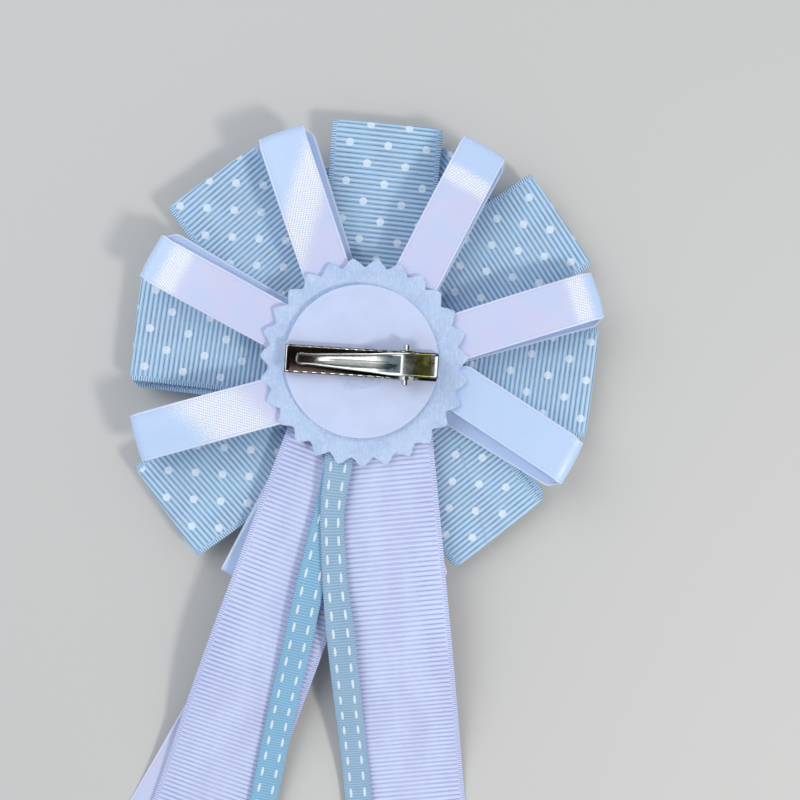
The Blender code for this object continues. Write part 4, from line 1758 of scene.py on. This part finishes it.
FRONT_PLACES = (
    LoopPlace("front_loop_1", 107.0, 69.0, 107.0, print_and_sheen_along=2.0),
    LoopPlace("front_loop_2", 56.4, 73.9, 42.0, dot_across=-4.2, print_and_sheen_along=8.1),
    LoopPlace("front_loop_3", 15.0, 60.0, 15.0, print_and_sheen_along=3.0),
    LoopPlace("front_loop_4", -28.0, 60.0, -28.0, print_and_sheen_along=5.0),
    LoopPlace("front_loop_5", -74.0, 60.0, -74.0),
    LoopPlace("front_loop_6", -120.0, 60.0, -120.0, print_and_sheen_along=4.0),
    LoopPlace("front_loop_7", -164.0, 55.0, -164.0, print_and_sheen_along=2.0),
    LoopPlace("front_loop_8", 151.0, 60.0, 151.0, print_and_sheen_along=3.0),
)
DOT_RISE = ((0.0, 6.4, 7.5), (0.34, 6.4, 7.5), (0.66, 6.4, 7.5), (0.78, 6.4, 8.0), (0.9, 6.4, 8.9), (1.0, 6.4, 9.7))
FLAT_DOT_RISE = ((0.0, 6.4, 7.5), (1.0, 6.4, 7.5))
SATIN_RISE = ((0.0, 8.8, 16.6), (0.25, 8.8, 16.6), (0.5, 10.6, 17.5), (0.75, 12.4, 18.7), (1.0, 13.4, 19.5))
FLAT_SATIN_RISE = ((0.0, 8.8, 10.1), (1.0, 8.8, 10.1))
FRONT_RISE = ((0.0, 3.8, 5.1), (0.55, 2.9, 5.1), (1.0, 1.7, 4.7))
SATIN_TAIL = TailPlace("satin_tail", -20.0, -176.0, 6.0, 10.9, 0.0,
                       ((-20.0, 5.5, 16.0), (-184.0, -91.1, 16.0)), "white_satin")
LEFT_TAIL = TailPlace("white_tail_left", -14.0, -182.0, 12.0, 12.2, 1.3,
                      ((-14.0, -2.2, 38.0), (-196.0, -70.2, 38.0)), "white_grosgrain")
RIGHT_TAIL = TailPlace("white_tail_right", -14.0, -192.0, -12.0, 13.5, 0.0,
                       ((-14.0, 3.6, 38.0), (-206.0, 21.6, 38.0)), "white_grosgrain")
LEFT_TEAL = TailPlace("stitched_tail_left", -26.0, -178.0, 4.0, 14.8, 2.6, (
    (-26.0, -6.5, 9.5), (-47.3, -10.5, 9.5), (-62.1, -14.2, 9.5), (-76.9, -17.9, 9.5), (-94.1, -21.6, 9.5),
    (-120.7, -28.2, 9.5), (-153.0, -35.2, 9.5), (-186.0, -42.0, 9.5)), "teal_grosgrain")
RIGHT_TEAL = TailPlace("stitched_tail_right", -26.0, -184.0, -4.0, 16.1, 1.3, (
    (-26.0, -7.6, 9.5), (-34.0, -7.7, 9.5), (-40.5, -8.9, 8.8), (-50.2, -10.1, 8.0), (-59.3, -9.9, 8.0),
    (-77.2, -8.8, 8.6), (-88.1, -7.4, 9.5), (-123.3, -4.5, 9.5), (-150.0, -2.2, 9.5), (-192.0, 1.2, 9.5)),
    "teal_grosgrain")


def main() -> None:
    """Build, dress and light the rosette."""
    logging.basicConfig(level=logging.INFO, format="%(message)s")
    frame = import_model()

    # sky is the dotted ribbon's painted highlight colour on its crests; haze is its cloudy tone.
    sky, haze = (0.66, 0.83, 0.97), (0.36, 0.51, 0.70)
    dotted = Grosgrain("dotted_grosgrain", sky, (0.40, 0.61, 0.83), (0.08, 0.18, 0.35), haze,
                       RIBBON_WIDTH, RIB_PITCH, dots=True).build()
    reverse = Grosgrain("dotted_grosgrain_reverse", sky, (0.31, 0.51, 0.73), (0.12, 0.25, 0.44), haze,
                        RIBBON_WIDTH, RIB_PITCH).build()
    white_rib = Grosgrain("white_grosgrain", (0.74, 0.79, 0.98), (0.63, 0.69, 0.95), (0.26, 0.31, 0.62),
                          (0.53, 0.57, 0.85), RIBBON_WIDTH, RIB_PITCH, groove_shade=0.95, middle_groove_shade=0.6).build()
    teal_rib = Grosgrain("teal_grosgrain", (0.36, 0.60, 0.80), (0.25, 0.50, 0.70), (0.13, 0.33, 0.52),
                         (0.24, 0.45, 0.63), TEAL_WIDTH, TEAL_RIB_PITCH, selvage=TEAL_SELVAGE, groove_shade=0.7).build()
    grey_teal = Grosgrain("grey_teal_grosgrain", (0.42, 0.58, 0.74), (0.31, 0.48, 0.64), (0.17, 0.31, 0.48),
                          (0.27, 0.44, 0.60), TEAL_WIDTH, TEAL_RIB_PITCH, selvage=TEAL_SELVAGE, groove_shade=0.7).build()
    satin = SatinWeave("white_satin", (0.67, 0.675, 0.90), (0.55, 0.70, 0.96), (0.42, 0.50, 0.80),
                       (0.97, 0.99, 1.0), SATIN_WIDTH).build()
    felt = FeltCloth("blue_white_felt", (0.61, 0.74, 0.98), (0.48, 0.61, 0.89)).build()
    card = PlainCard("plain_card", (0.62, 0.69, 0.92)).build()
    steel = PolishedSteel("plated_steel", (0.62, 0.63, 0.60)).build()
    tray_steel = PolishedSteel("plated_steel_tray", (0.60, 0.60, 0.56), tray=True).build()
    glue = HotGlue("hot_glue").build()
    cover = PlainWeave("button_cover", (0.66, 0.71, 0.93)).build()
    thread = PlainWeave("white_thread", (0.80, 0.89, 0.96)).build()

    wide = Ribbon(RIBBON_WIDTH, Weave.RIBBED)
    narrow = Ribbon(SATIN_WIDTH, Weave.SATIN, rib_height=0.12, camber=0.35)
    white = Ribbon(RIBBON_WIDTH, Weave.RIBBED, rib_height=0.2, camber=0.1)
    teal = Ribbon(TEAL_WIDTH, Weave.RIBBED, TEAL_RIB_PITCH, rib_height=0.1, selvage=TEAL_SELVAGE, camber=0.1)

    LoopRing(wide, FRONT_PLACES, FRONT_RISE, FRONT_RISE, 18.0, "dotted_grosgrain", dotted, reverse).build()
    LoopRing(wide, DOT_PLACES, DOT_RISE, FLAT_DOT_RISE, 18.0, "dotted_grosgrain", dotted, reverse).build()
    LoopRing(narrow, SATIN_PLACES, SATIN_RISE, FLAT_SATIN_RISE, 25.0, "white_satin", satin, satin).build()

    Tail(SATIN_TAIL, narrow).build(satin)
    Tail(LEFT_TAIL, white).build(white_rib)
    Tail(RIGHT_TAIL, white).build(white_rib)
    for place, cloth in ((LEFT_TEAL, teal_rib), (RIGHT_TEAL, grey_teal)):
        tail = Tail(place, teal)
        tail.build(cloth, (Stitches().sew(tail, thread),))

    FeltDisc().build(felt, SATIN_PLACES)
    frame["nodes"]["card_disc"].material_slots[0].material = card
    frame["nodes"]["clip_spring"].material_slots[0].material = steel
    clip = HairClip()
    clip.tray(tray_steel)
    clip.lever(steel)
    clip.pin(steel)
    Glue().blob(glue)
    Glue().strand(glue)
    FrontButton().build(cover)

    Studio().build(PaleTable("pale_table", (0.62, 0.61, 0.59)).build())


if __name__ == "__main__":
    main()
